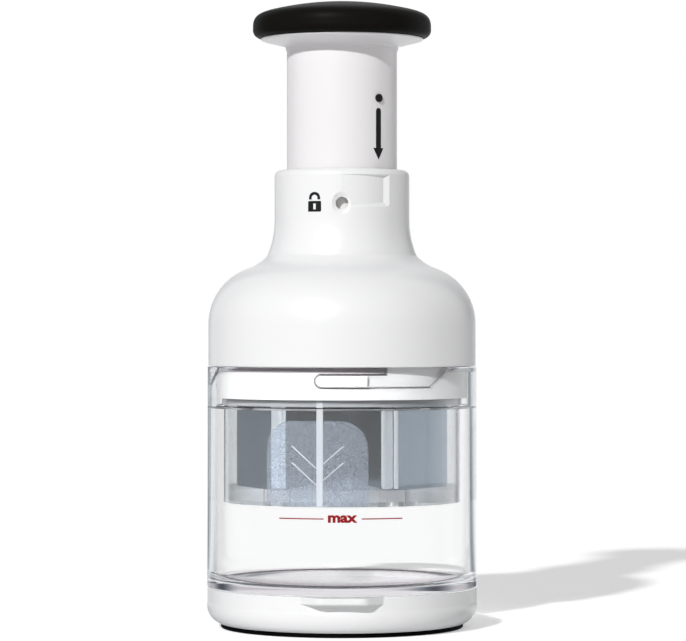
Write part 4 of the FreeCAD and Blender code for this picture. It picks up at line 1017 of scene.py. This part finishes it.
@dataclass
class Studio:
    """White floor, plain light and the camera of the photograph."""

    camera_distance: float = 1.3
    camera_height: float = 0.1238
    lens: float = 169.9
    sensor: float = 36.0
    shift_right: float = 1.0
    shift_up: float = -2.5
    floor_radius: float = 9.0
    sun_azimuth: float = 23.0
    sun_elevation: float = 29.0
    sun_strength: float = 2.42
    sun_spread: float = 2.5
    ambient: float = 0.3
    background: float = 1.0
    room: float = 0.15
    windows: tuple[tuple[float, float, float], ...] = (
        (62.0, 22.0, 0.95), (7.0, 20.0, 0.9), (-32.0, 8.0, 0.85))
    window_edge: float = 6.0
    dusk: tuple[float, float, float] = (0.74, 0.87, 1.0)
    paper: float = 0.93
    lit_paper: float = 0.95
    mirrored_paper: float = 0.12
    paper_glow: float = 0.36

    def camera(self) -> None:
        """Stand the camera where the photograph was taken."""
        data = bpy.data.cameras.new("studio_camera")
        data.sensor_width = self.sensor
        data.lens = self.lens
        data.shift_x = self.shift_right / PIXELS_ACROSS
        data.shift_y = self.shift_up / PIXELS_ACROSS
        data.clip_start = 0.01
        data.clip_end = 50.0
        camera = bpy.data.objects.new("studio_camera", data)
        camera.location = (0, -self.camera_distance, self.camera_height)
        camera.rotation_euler = (math.radians(90), 0, 0)
        bpy.context.scene.collection.objects.link(camera)
        bpy.context.scene.camera = camera

    def sun(self) -> None:
        """Hang one lamp at the left in front, as the floor's shadow shows."""
        data = bpy.data.lights.new("key_light", "SUN")
        data.energy = self.sun_strength
        data.angle = math.radians(self.sun_spread)
        side = math.radians(self.sun_azimuth)
        rise = math.radians(self.sun_elevation)
        way = Vector((-math.sin(side) * math.cos(rise), -math.cos(side) * math.cos(rise), math.sin(rise)))
        lamp = bpy.data.objects.new("key_light", data)
        lamp.rotation_euler = way.to_track_quat("Z", "Y").to_euler()
        lamp.location = way
        bpy.context.scene.collection.objects.link(lamp)

    def world(self) -> None:
        """Surround the scene with white, dim where it lights surfaces, dark where they mirror it."""
        world = bpy.data.worlds.new("studio_world")
        world.use_nodes = True
        bpy.context.scene.world = world
        graph = Graph(world.node_tree)
        window = self.window(graph, graph.add("TexCoord").outputs["Generated"])
        mirrored, lighting = self.later_rays(graph)
        strength = graph.add("Mix", {"Factor": mirrored, "A": self.background, "B": window})
        strength = graph.add("Mix", {"Factor": lighting, "A": strength.outputs[0], "B": self.ambient})
        plain = graph.math("ADD", window, graph.math("SUBTRACT", 1.0, mirrored))
        colour = graph.tinted(plain, self.dusk, (1, 1, 1))
        light = graph.add("Background", {"Color": colour, "Strength": strength.outputs[0]})
        graph.add("OutputWorld", {"Surface": light.outputs["Background"]})

    def window(self, graph: Graph, place: bpy.types.NodeSocket) -> bpy.types.NodeSocket:
        """Tell how bright the room is that gloss and metal mirror, by the way it lies in.

        Args:
            graph: The graph that gets the nodes.
            place: A point or direction in that way.

        Returns:
            The brightness: bright windows in a dim room.
        """
        parts = graph.add("SeparateXYZ", {0: place})
        azimuth = graph.math("ARCTAN2", parts.outputs["X"], parts.outputs["Y"])
        brightness = self.room
        for middle, half, light in self.windows:
            away = graph.math("ABSOLUTE", graph.math("SUBTRACT", azimuth, math.radians(middle)))
            window = graph.add("MapRange", {
                "Value": away, "From Min": math.radians(half - self.window_edge),
                "From Max": math.radians(half + self.window_edge),
                "To Min": light, "To Max": self.room}, interpolation_type="SMOOTHSTEP")
            brightness = graph.math("MAXIMUM", brightness, window.outputs["Result"])
        return brightness

    @staticmethod
    def later_rays(graph: Graph) -> tuple[bpy.types.NodeSocket, bpy.types.NodeSocket]:
        """Tell rays that were mirrored, and rays that light a surface, from those that see straight on.

        Args:
            graph: The graph that gets the nodes.

        Returns:
            Masks of the mirrored and of the lighting rays.
        """
        path = graph.add("LightPath")
        mirrored = graph.math("MINIMUM", path.outputs["Glossy Depth"], 1.0)
        lighting = graph.math("MINIMUM", path.outputs["Diffuse Depth"], 1.0)
        return mirrored, lighting

    def floor(self) -> None:
        """Lay a wide pale floor that renders white and keeps the shadow."""
        mesh = bmesh.new()
        bmesh.ops.create_circle(mesh, cap_ends=True, segments=64, radius=self.floor_radius)
        bmesh.ops.translate(mesh, verts=mesh.verts[:], vec=(0, 0, -0.0001))
        data = bpy.data.meshes.new("studio_floor")
        mesh.to_mesh(data)
        mesh.free()
        material, graph = fresh_material("floor_paper")
        mirrored, lighting = self.later_rays(graph)
        seen = graph.math("SUBTRACT", 1.0, lighting)
        straight = graph.math("MULTIPLY", seen, graph.math("SUBTRACT", 1.0, mirrored))
        near = graph.tinted(seen, (self.lit_paper,) * 3, (self.paper,) * 3)
        far = (self.mirrored_paper,) * 3
        paper = graph.add("Mix", {"Factor": mirrored, "A": near, "B": (*far, 1)}, data_type="RGBA")
        cover = graph.add("BsdfDiffuse", {"Color": paper.outputs["Result"]})
        window = self.window(graph, graph.add("TexCoord").outputs["Object"])
        room = graph.math("MULTIPLY", window, mirrored)
        strength = graph.math("ADD", graph.math("MULTIPLY", straight, self.paper_glow), room)
        plain = graph.math("ADD", window, graph.math("SUBTRACT", 1.0, mirrored))
        colour = graph.tinted(plain, self.dusk, (1, 1, 1))
        glow = graph.add("Emission", {"Color": colour, "Strength": strength})
        both = graph.add("AddShader", {0: cover.outputs[0], 1: glow.outputs[0]})
        graph.add("OutputMaterial", {"Surface": both.outputs[0]})
        data.materials.append(material)
        floor = bpy.data.objects.new("studio_floor", data)
        bpy.context.scene.collection.objects.link(floor)

    def build(self) -> None:
        """Set up everything that isn't the chopper."""
        bpy.context.scene.view_settings.view_transform = "Standard"
        self.camera()
        self.sun()
        self.world()
        self.floor()


NODE_FINISHES = {
    "base_boot": WHITE_SHELL, "foot_ring": FOOT_RUBBER, "housing": WHITE_SHELL,
    "inner_bridge": BRIDGE_PLASTIC, "bridge_screws": STEEL, "guide_sleeve": ACETAL,
    "ratchet_ring": ACETAL, "drive_nut": ACETAL, "nut_spring": SPRING_STEEL, "nut_cap": ACETAL,
    "return_spring": SPRING_STEEL, "thrust_washer": ACETAL, "buffer_spring": SPRING_STEEL,
    "plunger_tube": WHITE_PLUNGER, "stop_ring": ACETAL, "lock_pin": DARK_PLASTIC,
    "knob_core": KNOB_PLASTIC, "knob_grip": KNOB_RUBBER, "knob_screws": STEEL,
    "shaft_carrier": ACETAL, "drive_shaft": STEEL, "shaft_clip": SPRING_STEEL,
    "blade_carrier": CARRIER_PLASTIC, "blade_screw": STEEL, "blade": BLADE_STEEL,
    "wiper_plate": GUARD_FLOOR,
}


def main() -> None:
    """Build the studio and every sub-assembly."""
    logging.basicConfig(level=logging.INFO, format="%(message)s")
    Studio().build()
    made: dict[str, bpy.types.Material] = {}
    for node, finish in NODE_FINISHES.items():
        if finish.name not in made:
            made[finish.name] = finish.material()
        part = dress(node, made[finish.name])
        if node == "wiper_plate":
            part.visible_shadow = False
    Cup().build()
    Guard().build()
    PlungerPrints().build()
    HeadPrints().build()
    CupPrints().build()


if __name__ == "__main__":
    main()
